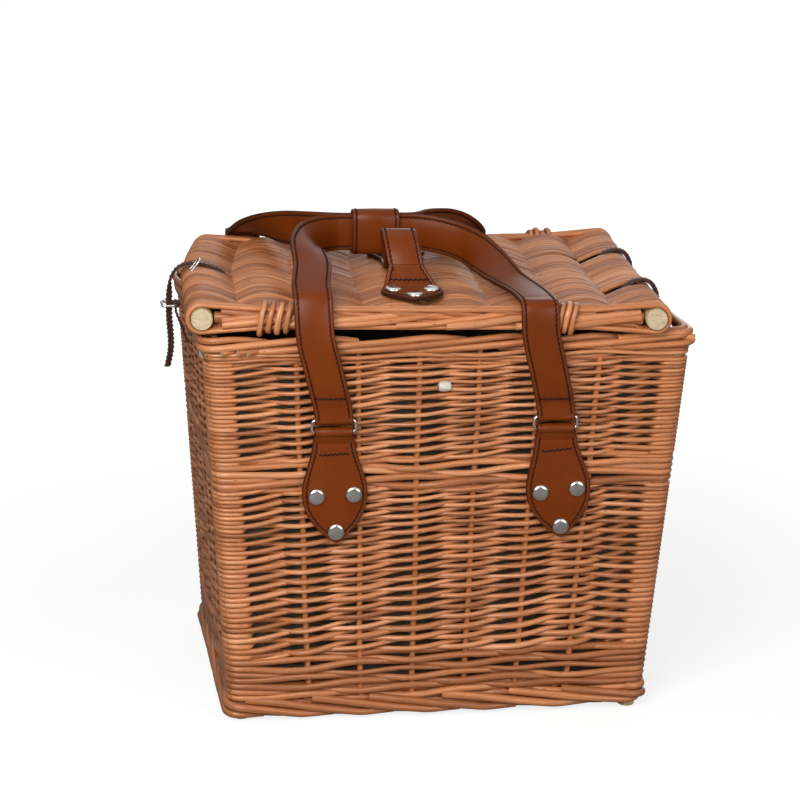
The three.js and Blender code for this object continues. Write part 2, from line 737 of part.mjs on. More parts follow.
// Stops on edge through the wrap, on its front or its back half
function runStops(sign) {
  const y = WRAP_Y + sign * STRAP_OFFSET;
  return [
    stop(WRAP_X - WRAP_REACH - STRAP_EASE, y + sign, WRAP_Z, ON_EDGE),
    stop(WRAP_X - WRAP_REACH, y, WRAP_Z, ON_EDGE),
    stop(WRAP_X, y, WRAP_Z, ON_EDGE),
    stop(WRAP_X + WRAP_REACH, y, WRAP_Z, ON_EDGE),
    stop(WRAP_X + WRAP_REACH + STRAP_EASE, y + sign, WRAP_Z, ON_EDGE),
  ];
}

// The whole way of a strap: up its left leg, over the lid, through the wrap and down its right leg
function strapStops(sign, [left, right], [leftLeg, leftWay], [rightLeg, rightWay]) {
  return [
    ...legStops(sign, left, leftLeg, LEVEL),
    ...lidStops(sign, left, leftWay),
    ...runStops(sign),
    ...lidStops(sign, right, rightWay).reverse(),
    ...legStops(sign, right, rightLeg, LEVEL_BACK).reverse(),
  ];
}

// A carry strap whose two ends are rolled round the rings' upper wires
function carryStrap(stops) {
  const ends = [stops[0].at, stops[stops.length - 1].at];
  const band = cut(
    strip(stops, STRAP_WIDTH, STRAP_THICKNESS, STRAP_STEPS),
    ...ends.map((end) => slabAlongX(disc(end.y, end.z, EYE_HOLE + LEATHER / 2), end.x, 2 * STRAP_WIDTH)),
  );
  const eyes = ends.map((end) => {
    return slabAlongX(eyeShape(end.y, end.z, EYE_HOLE, EYE_RADIUS), end.x, STRAP_WIDTH);
  });
  return join(band, ...eyes);
}

// Leather wrap round both straps: a flat tube along X
function gripWrap() {
  const depth = STRAP_THICKNESS + STRAP_OFFSET + WRAP_SLACK;
  const height = STRAP_WIDTH / 2 + WRAP_SLACK;
  const outer = roundedBox(
    WRAP_Y - depth - WRAP_THICKNESS, WRAP_Y + depth + WRAP_THICKNESS,
    WRAP_Z - height - WRAP_THICKNESS, WRAP_Z + height + WRAP_THICKNESS, depth,
  );
  outer.holes.push(roundedBox(
    WRAP_Y - depth, WRAP_Y + depth, WRAP_Z - height, WRAP_Z + height, WRAP_SLACK,
  ));
  return slabAlongX(outer, WRAP_X, WRAP_LENGTH, CORNER_STEPS);
}

function addStraps() {
  const front = strapStops(
    -1, FRONT_TABS, [FRONT_LEFT_LEG, FRONT_LEFT_WAY], [FRONT_RIGHT_LEG, FRONT_RIGHT_WAY],
  );
  const back = strapStops(
    1, BACK_TABS, [BACK_LEFT_LEG, BACK_LEFT_WAY], [BACK_RIGHT_LEG, BACK_RIGHT_WAY],
  );
  addPiece(basket, 'carry_strap_front', carryStrap(front), tanLeather());
  addPiece(basket, 'carry_strap_back', carryStrap(back), tanLeather());
  addPiece(basket, 'grip_wrap', gripWrap(), tanLeather());
}

// Section of a lid border, and of the binding round it, in Y and Z about the lid's middle height
const BORDER_HALF_HEIGHT = WRAPPED_ROD - BINDING_THICKNESS - GAP;
const BORDER_FRONT = LID_DEPTH / 2;
const BORDER_BACK = BORDER_FRONT - LID_BORDER_DEPTH;

function borderShape(grow) {
  return roundedBox(
    -BORDER_FRONT - grow, -BORDER_BACK + grow,
    LID_Z - BORDER_HALF_HEIGHT - grow, LID_Z + BORDER_HALF_HEIGHT + grow, LID_BORDER_CORNER + grow,
  );
}

function lidBorder() {
  const left = LID_LEFT_X + WRAPPED_ROD + GAP;
  const right = HINGE_X - WRAPPED_ROD - GAP;
  return slabAlongX(borderShape(0), (left + right) / 2, right - left, CORNER_STEPS);
}

function binding(x) {
  const shape = borderShape(GAP + BINDING_THICKNESS);
  shape.holes.push(borderShape(GAP));
  return slabAlongX(shape, x, BINDING_WIDTH, CORNER_STEPS);
}

// Lid section in X and Z: a plate that swells over its stakes on top
function plateShape() {
  const left = LID_LEFT_X;
  const right = HINGE_X;
  const spans = LID_STAKES + 1;
  const shape = new THREE.Shape();
  shape.moveTo(left, LID_Z - PANEL_BELOW);
  shape.lineTo(right, LID_Z - PANEL_BELOW);
  for (let i = spans * RIB_STEPS; i >= 0; i -= 1) {
    const place = i / RIB_STEPS;
    const top = LID_Z + PANEL_ABOVE + PANEL_RELIEF * swell(place);
    shape.lineTo(left + (right - left) * place / spans, top);
  }
  shape.closePath();
  return shape;
}

// Slot across a rod's wrapping, for a lace that runs round the bare rod
function laceSlot(y, from, to) {
  const half = LACE_WIDTH / 2 + SLOT_MARGIN;
  return block(from, to, y - half, y + half, LID_Z - 2 * WRAPPED_ROD, LID_Z + 2 * WRAPPED_ROD);
}

// Woven lid panel: the plate, with its weavers wrapped round both rods
function lidPanel() {
  const half = BORDER_BACK - GAP;
  const sides = [LID_LEFT_X, HINGE_X];
  const plate = join(
    slabAlongY(plateShape(), 0, 2 * half),
    ...sides.map((x) => rodAlongY(x, -half, half, LID_Z, WRAPPED_ROD, ROD_SIDES)),
  );
  const room = 2 * GAP + BINDING_THICKNESS;
  const notches = [BINDING_LEFT_X, BINDING_RIGHT_X].flatMap((x) => [-1, 1].map((sign) => {
    const near = BORDER_BACK - room;
    const ends = sign < 0 ? [-BORDER_BACK, -near] : [near, BORDER_BACK];
    const reach = BINDING_WIDTH / 2 + GAP;
    return block(x - reach, x + reach, ...ends, LID_Z - 2 * WRAPPED_ROD, LID_Z + 2 * WRAPPED_ROD);
  }));
  const inner = LACE_OUTER + 2 * SLOT_MARGIN;
  const outer = WRAPPED_ROD + SLOT_MARGIN;
  return cut(
    plate,
    ...sides.map((x) => rodAlongY(x, -LID_DEPTH, LID_DEPTH, LID_Z, LACE_INNER, ROD_SIDES)),
    ...[-HINGE_LACE_Y, HINGE_LACE_Y].map((y) => laceSlot(y, HINGE_X - inner, HINGE_X + outer)),
    laceSlot(CLOSURE_Y, LID_LEFT_X - outer, LID_LEFT_X + inner),
    ...notches,
  );
}

const HANDLE_RIVETS = [
  ['left', -RIVET_SPREAD / 2, -HANDLE_RIVET_ROW],
  ['right', RIVET_SPREAD / 2, -HANDLE_RIVET_ROW],
  ['tip', 0, -HANDLE_RIVET_TIP],
];

// Lid handle: a strap that arches off the lid between two flat teardrop ends
function lidHandle() {
  const seat = LID_TOP + GAP + STRAP_THICKNESS / 2;
  const length = HANDLE_BACK_Y - HANDLE_FRONT_Y;
  const stops = [
    stop(HANDLE_X, HANDLE_FRONT_Y - HANDLE_LAP, seat, LEVEL),
    ...HANDLE_WAY.map(([along, up]) => {
      return stop(HANDLE_X, HANDLE_FRONT_Y + length * along, seat + HANDLE_RISE * up, LEVEL);
    }),
    stop(HANDLE_X, HANDLE_BACK_Y + HANDLE_LAP, seat, LEVEL),
  ];
  const arch = strip(stops, HANDLE_WIDTH, STRAP_THICKNESS, HANDLE_STEPS);
  const ends = [[HANDLE_FRONT_Y, 0], [HANDLE_BACK_Y, Math.PI]].map(([y, turn]) => {
    const shape = teardrop(
      HANDLE_WIDTH, HANDLE_END_WIDTH, HANDLE_SHOULDER, HANDLE_CHEEK, HANDLE_END_LENGTH,
    );
    HANDLE_RIVETS.forEach(([, x, along]) => shape.holes.push(disc(x, along, SHANK_RADIUS + GAP)));
    const plate = extrude(shape, STRAP_THICKNESS, ARC_STEPS);
    plate.rotateZ(turn);
    plate.translate(HANDLE_X, y, LID_TOP + GAP);
    return plate;
  });
  return join(arch, ...ends);
}

// Lace that ties the lid's right rod to the rim: a band round both
function hingeLace([rodX, y]) {
  const inner = halfWidth(RIM_LOW) - RIM_INSET;
  const outer = RIM_HALF_WIDTH + RIM_OUTSET;
  const loop = (reach) => beltShape([
    [rodX, LID_Z, ROD_RADIUS + reach],
    [inner, RIM_LOW, reach],
    [outer, RIM_LOW, reach],
    [outer, RIM_TOP, reach],
  ]);
  const shape = loop(LACE_FIT + LACE_THICKNESS);
  shape.holes.push(loop(LACE_FIT));
  return slabAlongY(shape, y, LACE_WIDTH);
}

// Closure strap: looped round the lid's left rod, with a tail that hangs through the buckle
function closureStrap() {
  const loop = eyeShape(LID_LEFT_X, LID_Z, LACE_INNER, LACE_OUTER);
  const ring = slabAlongY(loop, CLOSURE_Y, LACE_WIDTH, ROD_SIDES / 2);
  const middle = (LACE_INNER + LACE_OUTER) / 2;
  const tail = strip([
    ...TAIL_WAY.map(([out, up]) => {
      return stop(LID_LEFT_X - TAIL_OUT * out, CLOSURE_Y, LID_Z + middle * up, DEPTHWAYS);
    }),
    stop(TAIL_X, CLOSURE_Y, BUCKLE_Z + TAIL_STRAIGHT, DEPTHWAYS),
    stop(TAIL_X, CLOSURE_Y, BUCKLE_Z - TAIL_STRAIGHT, DEPTHWAYS),
    stop(TAIL_X, CLOSURE_Y, LID_Z - TAIL_LENGTH, DEPTHWAYS),
  ], LACE_WIDTH, LACE_THICKNESS, TAIL_STEPS);
  return join(ring, tail);
}

function addLid() {
  const rod = (x) => rodAlongY(x, -LID_DEPTH / 2, LID_DEPTH / 2, LID_Z, ROD_RADIUS, ROD_SIDES);
  addPiece(lid, 'lid_panel', lidPanel(), willow());
  addPiece(lid, 'lid_rod_left', rod(LID_LEFT_X), paleWood());
  addPiece(lid, 'lid_rod_right', rod(HINGE_X), paleWood());
  [['front', 0], ['back', Math.PI]].forEach(([row, turn]) => {
    const sign = turn ? -1 : 1;
    const facing = new THREE.Group();
    facing.rotation.z = turn;
    lid.add(facing);
    const border = addPiece(facing, `lid_border_${row}`, lidBorder(), willow());
    border.position.x = turn ? -(LID_LEFT_X + HINGE_X) : 0;
    addPiece(facing, `lid_binding_${row}_left`, binding(sign * BINDING_LEFT_X), willow());
    addPiece(facing, `lid_binding_${row}_right`, binding(sign * BINDING_RIGHT_X), willow());
  });
  addPiece(lid, 'lid_handle', lidHandle(), tanLeather());
  [['front', HANDLE_FRONT_Y, 1], ['back', HANDLE_BACK_Y, -1]].forEach(([row, y, sign]) => {
    HANDLE_RIVETS.forEach(([spot, x, along]) => {
      const head = addPiece(lid, `lid_rivet_${row}_${spot}`, rivet(STRAP_THICKNESS), nickel());
      head.position.set(HANDLE_X + x, y + sign * along, LID_TOP + GAP + STRAP_THICKNESS + GAP);
    });
  });
  addPiece(basket, 'hinge_lace_front', hingeLace(HINGE_LACES[0]), darkLeather());
  addPiece(basket, 'hinge_lace_back', hingeLace(HINGE_LACES[1]), darkLeather());
  addPiece(lid, 'closure_strap', closureStrap(), darkLeather());
}

// Keeper lace on the left wall, rolled round the buckle's inner wire
function closureKeeper() {
  const wallX = (z) => -halfWidth(z) - GAP - BUCKLE_EYE_WALL / 2;
  const low = BUCKLE_Z - KEEPER_DROP;
  const band = strip([
    stop(BUCKLE_INNER_X, BUCKLE_Y, BUCKLE_Z - BUCKLE_EYE + BUCKLE_EYE_WALL / 2, DEPTHWAYS),
    stop(BUCKLE_INNER_X, BUCKLE_Y, RIM_LOW - GAP, DEPTHWAYS),
    stop((BUCKLE_INNER_X + wallX(low)) / 2, BUCKLE_Y, (RIM_LOW + low) / 2, DEPTHWAYS),
    stop(wallX(low), BUCKLE_Y, low, DEPTHWAYS),
  ], LACE_WIDTH, BUCKLE_EYE_WALL, KEEPER_STEPS);
  const eye = slabAlongY(
    eyeShape(BUCKLE_INNER_X, BUCKLE_Z, BUCKLE_WIRE + WIRE_FIT, BUCKLE_EYE), BUCKLE_Y, LACE_WIDTH,
  );
  return join(band, eye);
}

function buckleFrame() {
  const middle = new THREE.Vector3((BUCKLE_INNER_X + BUCKLE_OUTER_X) / 2, BUCKLE_Y, BUCKLE_Z);
  const halfLength = (BUCKLE_INNER_X - BUCKLE_OUTER_X) / 2;
  return wireLoop(middle, X_AXIS, Y_AXIS, halfLength, BUCKLE_WIDTH / 2, RING_CORNER / 2, BUCKLE_WIRE);
}

// Prong: an eye on the buckle's inner wire and a pin that lies on its outer wire
function buckleProng() {
  const side = BUCKLE_Y + LACE_WIDTH / 2 + GAP + PRONG_RADIUS + GAP;
  const rest = BUCKLE_Z + BUCKLE_WIRE + GAP + PRONG_RADIUS;
  const hole = BUCKLE_WIRE + GAP;
  const eye = slabAlongY(
    eyeShape(BUCKLE_INNER_X, BUCKLE_Z, hole, hole + PRONG_EYE_WALL), side, 2 * PRONG_RADIUS,
  );
  const pin = strip([
    stop(BUCKLE_INNER_X - BUCKLE_WIRE - GAP - PRONG_EYE_WALL / 2, side, BUCKLE_Z, DEPTHWAYS),
    stop(BUCKLE_INNER_X - PRONG_LEAD, side, BUCKLE_Z + PRONG_RADIUS, DEPTHWAYS),
    stop(BUCKLE_OUTER_X + PRONG_LEAD, side, rest, DEPTHWAYS),
    stop(BUCKLE_OUTER_X, side, rest, DEPTHWAYS),
  ], 2 * PRONG_RADIUS, 2 * PRONG_RADIUS, PRONG_STEPS);
  return join(eye, pin);
}

function addClosure() {
  addPiece(basket, 'closure_keeper', closureKeeper(), darkLeather());
  addPiece(basket, 'buckle_frame', buckleFrame(), nickel());
  addPiece(basket, 'buckle_prong', buckleProng(), nickel());
}

addBody();
addTabs();
addStraps();
addLid();
addClosure();

export default basket;
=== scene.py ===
import math

import bpy
import numpy as np
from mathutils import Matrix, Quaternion, Vector


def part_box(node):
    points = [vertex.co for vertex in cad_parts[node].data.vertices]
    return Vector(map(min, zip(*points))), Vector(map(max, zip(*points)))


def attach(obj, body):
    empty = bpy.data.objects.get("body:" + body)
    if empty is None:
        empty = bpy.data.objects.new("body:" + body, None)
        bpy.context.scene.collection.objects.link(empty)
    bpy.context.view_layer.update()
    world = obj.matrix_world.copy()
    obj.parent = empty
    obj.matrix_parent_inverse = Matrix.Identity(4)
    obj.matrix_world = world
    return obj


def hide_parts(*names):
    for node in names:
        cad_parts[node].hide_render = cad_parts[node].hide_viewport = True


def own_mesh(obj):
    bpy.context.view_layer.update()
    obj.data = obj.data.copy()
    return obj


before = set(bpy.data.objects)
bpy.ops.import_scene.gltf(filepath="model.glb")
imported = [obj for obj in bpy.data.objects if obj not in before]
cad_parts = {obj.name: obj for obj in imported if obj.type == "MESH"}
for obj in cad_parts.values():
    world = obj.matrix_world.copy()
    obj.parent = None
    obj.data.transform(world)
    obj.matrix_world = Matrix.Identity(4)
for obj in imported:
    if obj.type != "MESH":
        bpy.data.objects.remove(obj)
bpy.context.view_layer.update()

# Wicker picnic basket: woven walls and lid, leather straps, laces and metal fittings.
# Shapes are worked out in millimetres and become metres when a mesh is made.

MM = 0.001

# The body's own middle, seen from above, in the frame
RIM_LOW_CORNER, RIM_HIGH_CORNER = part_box("rim_border")
BODY_X = (RIM_LOW_CORNER.x + RIM_HIGH_CORNER.x) / 2 / MM

# Directions, and the sign of Y at the front and the back
ALONG_X, ALONG_Y, UP = np.eye(3)
ROW_SIGNS = {"front": -1, "back": 1}

# Body
GAP = 0.3
RIM_WIDTH, RIM_DEPTH = 360, 252
BASE_WIDTH, BASE_DEPTH = 316, 230
WALL_TOP, WALL_THICKNESS = 285, 9
COLUMN_RADIUS = 11
FOOT_HEIGHT, BASE_THICKNESS = 14, 10
RIM_HEIGHT, RIM_OUTSET = 12, 4
WIDTH_FLARE = (RIM_WIDTH - BASE_WIDTH) / 2 / WALL_TOP
DEPTH_FLARE = (RIM_DEPTH - BASE_DEPTH) / 2 / WALL_TOP
WALL_LEAN = math.atan(DEPTH_FLARE)
RIM_LOW = WALL_TOP + GAP
RIM_TOP = RIM_LOW + RIM_HEIGHT

# Lid, and the warp of its back corners
LID_DEPTH = 262
LID_SKEW = math.radians(-3)
DOWEL_RADIUS, DOWEL_WRAP = 8, 3.2
PANEL_ABOVE, PANEL_RELIEF = 3.5, 6
WRAPPED_DOWEL = DOWEL_RADIUS + GAP + DOWEL_WRAP
LID_Z = RIM_TOP + GAP + WRAPPED_DOWEL
LID_TOP = LID_Z + PANEL_ABOVE + PANEL_RELIEF
HINGE_X = RIM_WIDTH / 2 - 24
LID_LEFT_X = 6 - RIM_WIDTH / 2
LID_MIDDLE_X = (HINGE_X + LID_LEFT_X) / 2
CORNER_DRAWN, CORNER_FORWARD, CORNER_RAISED = 13, 8, 5
WARP_FROM, WARP_EASE = 8, 1.4

# Places of the laces on the lid
HINGE_LACE_Y, CLOSURE_Y = 55, 4

# Mesh: the run that turns the grain by one, how far it is shifted at random, and the sharpest smooth edge
GRAIN_RUN, GRAIN_SHIFT = 16, 90
SMOOTH_ANGLE = math.radians(48)


def half_width(z):
    return BASE_WIDTH / 2 + WIDTH_FLARE * z


def half_depth(z):
    return BASE_DEPTH / 2 + DEPTH_FLARE * z


def unit(v):
    return v / np.maximum(np.linalg.norm(v, axis=-1, keepdims=True), 1e-9)


def xyz(x, y, z):
    """Points from their coordinates. A coordinate can be one number for all of them."""
    return np.stack(np.broadcast_arrays(x, y, z), -1)


def turns(count):
    """Angles evenly spaced round a full turn."""
    return np.arange(count) * math.tau / count


def wave(at, height, length, phase):
    """A sway along a path, with its height and the length that turns it by one radian."""
    return height * np.sin(at / length + phase)


def run_of(path):
    """Distance along a path at each of its points."""
    return np.concatenate([[0.0], np.cumsum(np.linalg.norm(np.diff(path, axis=0), axis=1))])


def taken_at(places, run, rows):
    """Rows of vectors given along a run, taken at other places on it."""
    return np.stack([np.interp(places, run, column) for column in rows.T], -1)


def respaced(path, step, *others):
    """The path with evenly spaced points, and other rows of vectors taken at the same places."""
    run = run_of(path)
    places = np.linspace(0, run[-1], max(2, round(run[-1] / step) + 1))
    return [taken_at(places, run, rows) for rows in (path, *others)]


def eased(t):
    return (1 - np.cos(math.pi * t)) / 2


def smoothed(values, times):
    """Values along a rod with their corners rounded off, its ends kept."""
    for _ in range(times):
        inner = (values[:-2] + 2 * values[1:-1] + values[2:]) / 4
        values = np.concatenate([values[:1], inner, values[-1:]])
    return values


def sampled(places, values, at, ease):
    """Values between places, eased in each span."""
    span = np.clip(np.searchsorted(places, at, side="right") - 1, 0, len(places) - 2)
    t = np.clip((at - places[span]) / (places[span + 1] - places[span]), 0, 1)
    return values[span] + (values[span + 1] - values[span]) * ease(t)


def rounded_loop(half_x, half_y, corner):
    """A closed level path with round corners, counter-clockwise, whose last point is its first again."""
    arcs = []
    for quarter, (sign_x, sign_y) in enumerate(((1, 1), (-1, 1), (-1, -1), (1, -1))):
        turn = (quarter + np.linspace(0, 1, 9)) * math.pi / 2
        x = sign_x * (half_x - corner) + corner * np.cos(turn)
        y = sign_y * (half_y - corner) + corner * np.sin(turn)
        arcs.append(xyz(x, y, 0.0))
    return np.concatenate([*arcs, arcs[0][:1]])


def wire_loop(half_x, half_y, corner):
    """A rounded loop as evenly spaced points, for a wire."""
    return respaced(rounded_loop(half_x, half_y, corner), 1.0)[0][:-1]


def grid(rows, cols, loop=False):
    """Faces of a tube whose rings of points follow one another."""
    r = np.arange(rows if loop else rows - 1)[:, None]
    c = np.arange(cols)[None, :]
    after, beside = (r + 1) % rows, (c + 1) % cols
    corners = [r * cols + c, r * cols + beside, after * cols + beside, after * cols + c]
    return np.stack(corners, -1).reshape(-1, 4)


def rings_round(path, radius, side, over, sides, oval=(1, 1)):
    """Rings of points round a path, in the plane of two directions at each of its points."""
    turn = turns(sides)[None, :, None]
    radius = np.broadcast_to(np.asarray(radius, float), len(path))[:, None, None]
    side, over = (np.broadcast_to(way, path.shape)[:, None] for way in (side, over))
    return path[:, None] + radius * (oval[0] * np.cos(turn) * side + oval[1] * np.sin(turn) * over)


def strip_axes(path, across):
    """Directions along a strip, straight across it and out of its face."""
    along = unit(np.gradient(path, axis=0))
    across = unit(across - along * np.sum(across * along, -1, keepdims=True))
    return along, across, np.cross(across, along)


class Skin:
    """A mesh gathered from rods, bands and plates. Each point carries its grain, the place along
    and round its own rod, and its shade: a tint, and how far it is a cut or worn edge."""

    def __init__(self, seed):
        self.rng = np.random.default_rng(seed)
        self.points, self.grain, self.shade, self.faces = [], [], [], []
        self.count = 0

    def add(self, points, faces, grain, tint=0.5, edge=0.0):
        shade = np.zeros((len(points), 3))
        shade[:, 0] = tint
        shade[:, 1] = edge
        self.points.append(points)
        self.grain.append(grain)
        self.shade.append(shade)
        self.faces.extend(np.asarray(block) + self.count for block in faces)
        self.count += len(points)

    def tube(self, rings, run, tint=0.5, edge=0.0, caps=True, loop=False):
        """Rings of points along a run, capped at both ends or closed into a loop."""
        rows, sides = rings.shape[:2]
        turn = turns(sides)
        grain = np.empty(rings.shape)
        grain[..., 0] = (run / GRAIN_RUN)[:, None]
        grain[..., 1] = np.cos(turn)
        grain[..., 2] = np.sin(turn)
        grain += self.rng.uniform(0, GRAIN_SHIFT, 3)
        tints = np.broadcast_to(np.asarray(tint, float), rows)
        edges = np.broadcast_to(np.asarray(edge, float), sides)
        self.add(
            rings.reshape(-1, 3), [grid(rows, sides, loop)], grain.reshape(-1, 3),
            np.repeat(tints, sides), np.tile(edges, rows),
        )
        if caps and not loop:
            around = np.arange(sides)
            self.add(rings[0], [around[None, ::-1]], grain[0], tints[0], 1.0)
            self.add(rings[-1], [around[None]], grain[-1], tints[-1], 1.0)

    def rod(self, path, radius, sides=8, up=UP, tint=0.5, oval=(1, 1), caps=True, loop=False):
        """A round or oval rod along a path. The up vector is never along the path."""
        if loop:
            along = unit(np.roll(path, -1, 0) - np.roll(path, 1, 0))
        else:
            along = unit(np.gradient(path, axis=0))
        side = unit(np.cross(up, along))
        rings = rings_round(path, radius, side, np.cross(along, side), sides, oval)
        self.tube(rings, run_of(path), tint, caps=caps, loop=loop)

    def band(self, path, across, section, tint=0.5):
        """A strip whose section is a loop of places across and out, each with its edge share."""
        _, across, out = strip_axes(path, across)
        a, b, edge = np.array(section).T
        rings = path[:, None] + a[None, :, None] * across[:, None] + b[None, :, None] * out[:, None]
        self.tube(rings, run_of(path), tint, edge)

    def plate(self, outline, layers, place, tint=0.5):
        """A plate from rings of its outline, each inset by an amount at a height."""
        rings = np.stack([place(xyz(*inset(outline, amount).T, height)) for amount, height, _ in layers])
        rows, sides = rings.shape[:2]
        edge = np.repeat([share for _, _, share in layers], sides)
        around = np.arange(sides)
        caps = [around[None, ::-1], around[None] + (rows - 1) * sides]
        points = rings.reshape(-1, 3)
        self.add(points, [grid(rows, sides), *caps], points / GRAIN_RUN, tint, edge)

    def lathe(self, profile, place, sides=32):
        """A round piece from a profile of radius and height, from its rim to its top."""
        turn = turns(sides)
        rings = np.stack([place(xyz(r * np.cos(turn), r * np.sin(turn), h)) for r, h in profile])
        self.tube(rings, np.arange(len(profile), dtype=float))

    def object(self, name, material, place):
        """The gathered mesh as an object in the frame."""
        mesh = bpy.data.meshes.new(name)
        points = place(np.concatenate(self.points)) * MM
        totals = np.concatenate([np.full(len(block), block.shape[1]) for block in self.faces])
        corners = np.concatenate([block.ravel() for block in self.faces])
        starts = np.concatenate([[0], np.cumsum(totals)[:-1]])
        mesh.vertices.add(len(points))
        mesh.vertices.foreach_set("co", points.astype(np.float32).ravel())
        mesh.loops.add(len(corners))
        mesh.loops.foreach_set("vertex_index", corners.astype(np.int32))
        mesh.polygons.add(len(totals))
        mesh.polygons.foreach_set("loop_start", starts.astype(np.int32))
        mesh.update(calc_edges=True)
        mesh.validate()
        for attribute, rows in (("grain", self.grain), ("shade", self.shade)):
            values = np.concatenate(rows).astype(np.float32).ravel()
            mesh.attributes.new(attribute, "FLOAT_VECTOR", "POINT").data.foreach_set("vector", values)
        mesh.shade_smooth()
        mesh.set_sharp_from_angle(angle=SMOOTH_ANGLE)
        mesh.materials.append(material)
        thing = bpy.data.objects.new(name, mesh)
        bpy.context.scene.collection.objects.link(thing)
        return thing


def in_body(points):
    """From the body's own millimetres to the frame's."""
    return points + BODY_X * ALONG_X


def turned(points):
    """Points of the lid once it is turned on the body. Its back left corner is drawn in and forward,
    and its back right corner is raised."""
    x, y, z = np.moveaxis(points, -1, 0)
    left = (HINGE_X - x) / (HINGE_X - LID_LEFT_X)
    back = np.clip((y - WARP_FROM) / (LID_DEPTH / 2 - WARP_FROM), 0, 1) ** WARP_EASE
    x = x + CORNER_DRAWN * left * back - LID_MIDDLE_X
    y = y - CORNER_FORWARD * left * back
    z = z + CORNER_RAISED * (1 - left) * back
    c, s = math.cos(LID_SKEW), math.sin(LID_SKEW)
    return xyz(x * c - y * s + LID_MIDDLE_X, x * s + y * c, z)


def in_lid(points):
    return in_body(turned(points))


def piece(name, skin, finish, body, nodes=(), place=in_body):
    """A finished piece: made, set riding on its body, and standing for its solids."""
    thing = skin.object(name, FINISHES[finish], place)
    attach(thing, body)
    if nodes:
        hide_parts(*nodes)
    return thing


# Finishes

# Numbers of a Mix node's sockets for colours, and the places of the tint and the edge in a point's shade
MIX_SHARE, MIX_FIRST, MIX_SECOND, MIX_COLOUR = 0, 6, 7, 2
TINT, EDGE = 0, 1


class Nodes:
    """The nodes of a material or a world, joined as they are made."""

    def __init__(self, owner):
        owner.use_nodes = True
        self.owner = owner
        self.tree = owner.node_tree
        self.shader = self.tree.nodes.get("Principled BSDF")

    def feed(self, socket, value):
        """Gives a socket a number, a colour, a vector, or what another node puts out."""
        if isinstance(value, bpy.types.NodeSocket):
            self.tree.links.new(value, socket)
        elif socket.type == "RGBA":
            socket.default_value = (*value, 1)
        else:
            socket.default_value = value

    def node(self, kind, feeds=None, **settings):
        """A new node with its settings, and its sockets fed by name or number."""
        made = self.tree.nodes.new(kind)
        for key, value in settings.items():
            setattr(made, key, value)
        for socket, value in (feeds or {}).items():
            self.feed(made.inputs[socket], value)
        return made

    def attribute(self, name):
        return self.node("ShaderNodeAttribute", attribute_name=name).outputs["Vector"]

    def place(self):
        return self.node("ShaderNodeTexCoord").outputs["Object"]

    def part(self, vector, axis):
        return self.node("ShaderNodeSeparateXYZ", {0: vector}).outputs[axis]

    def shade(self, which):
        """A point's tint, or how far it is an edge."""
        return self.part(self.attribute("shade"), which)

    def noise(self, vector, scale, detail=3.0, rough=0.5):
        """Noise at one scale, or with a scale for each axis."""
        if isinstance(scale, tuple):
            vector = self.node("ShaderNodeMapping", {"Vector": vector, "Scale": scale}).outputs["Vector"]
            scale = 1.0
        feeds = {"Vector": vector, "Scale": scale, "Detail": detail, "Roughness": rough}
        return self.node("ShaderNodeTexNoise", feeds).outputs["Fac"]

    def ramp(self, value, *stops):
        """A colour that follows a value through stops, each a value and its colour."""
        made = self.node("ShaderNodeValToRGB", {"Fac": value})
        elements = made.color_ramp.elements
        while len(elements) < len(stops):
            elements.new(0.5)
        for element, (at, colour) in zip(elements, stops):
            element.position = at
            element.color = (*colour, 1)
        return made.outputs["Color"]

    def mix(self, share, first, second, blend="MIX"):
        feeds = {MIX_SHARE: share, MIX_FIRST: first, MIX_SECOND: second}
        return self.node("ShaderNodeMix", feeds, data_type="RGBA", blend_type=blend).outputs[MIX_COLOUR]

    def shaded(self, colour, value, *stops):
        """A colour multiplied by a ramp."""
        return self.mix(1.0, colour, self.ramp(value, *stops), "MULTIPLY")

    def span(self, value, low, high, start=0.0, end=1.0):
        """A value from start to end, spread from low to high."""
        feeds = {"Value": value, "From Min": start, "From Max": end, "To Min": low, "To Max": high}
        return self.node("ShaderNodeMapRange", feeds).outputs["Result"]

    def combined(self, operation, first, second):
        return self.node("ShaderNodeMath", {0: first, 1: second}, operation=operation).outputs[0]

    def bump(self, height, strength, distance, **under):
        feeds = {"Height": height, "Strength": strength, "Distance": distance, **under}
        return self.node("ShaderNodeBump", feeds).outputs["Normal"]

    def finish(self, **values):
        """Feeds the shader's sockets, whose names have spaces where these have underscores."""
        for socket, value in values.items():
            self.feed(self.shader.inputs[socket.replace("_", " ")], value)
        return self.owner


def material_nodes(name):
    return Nodes(bpy.data.materials.new(name))


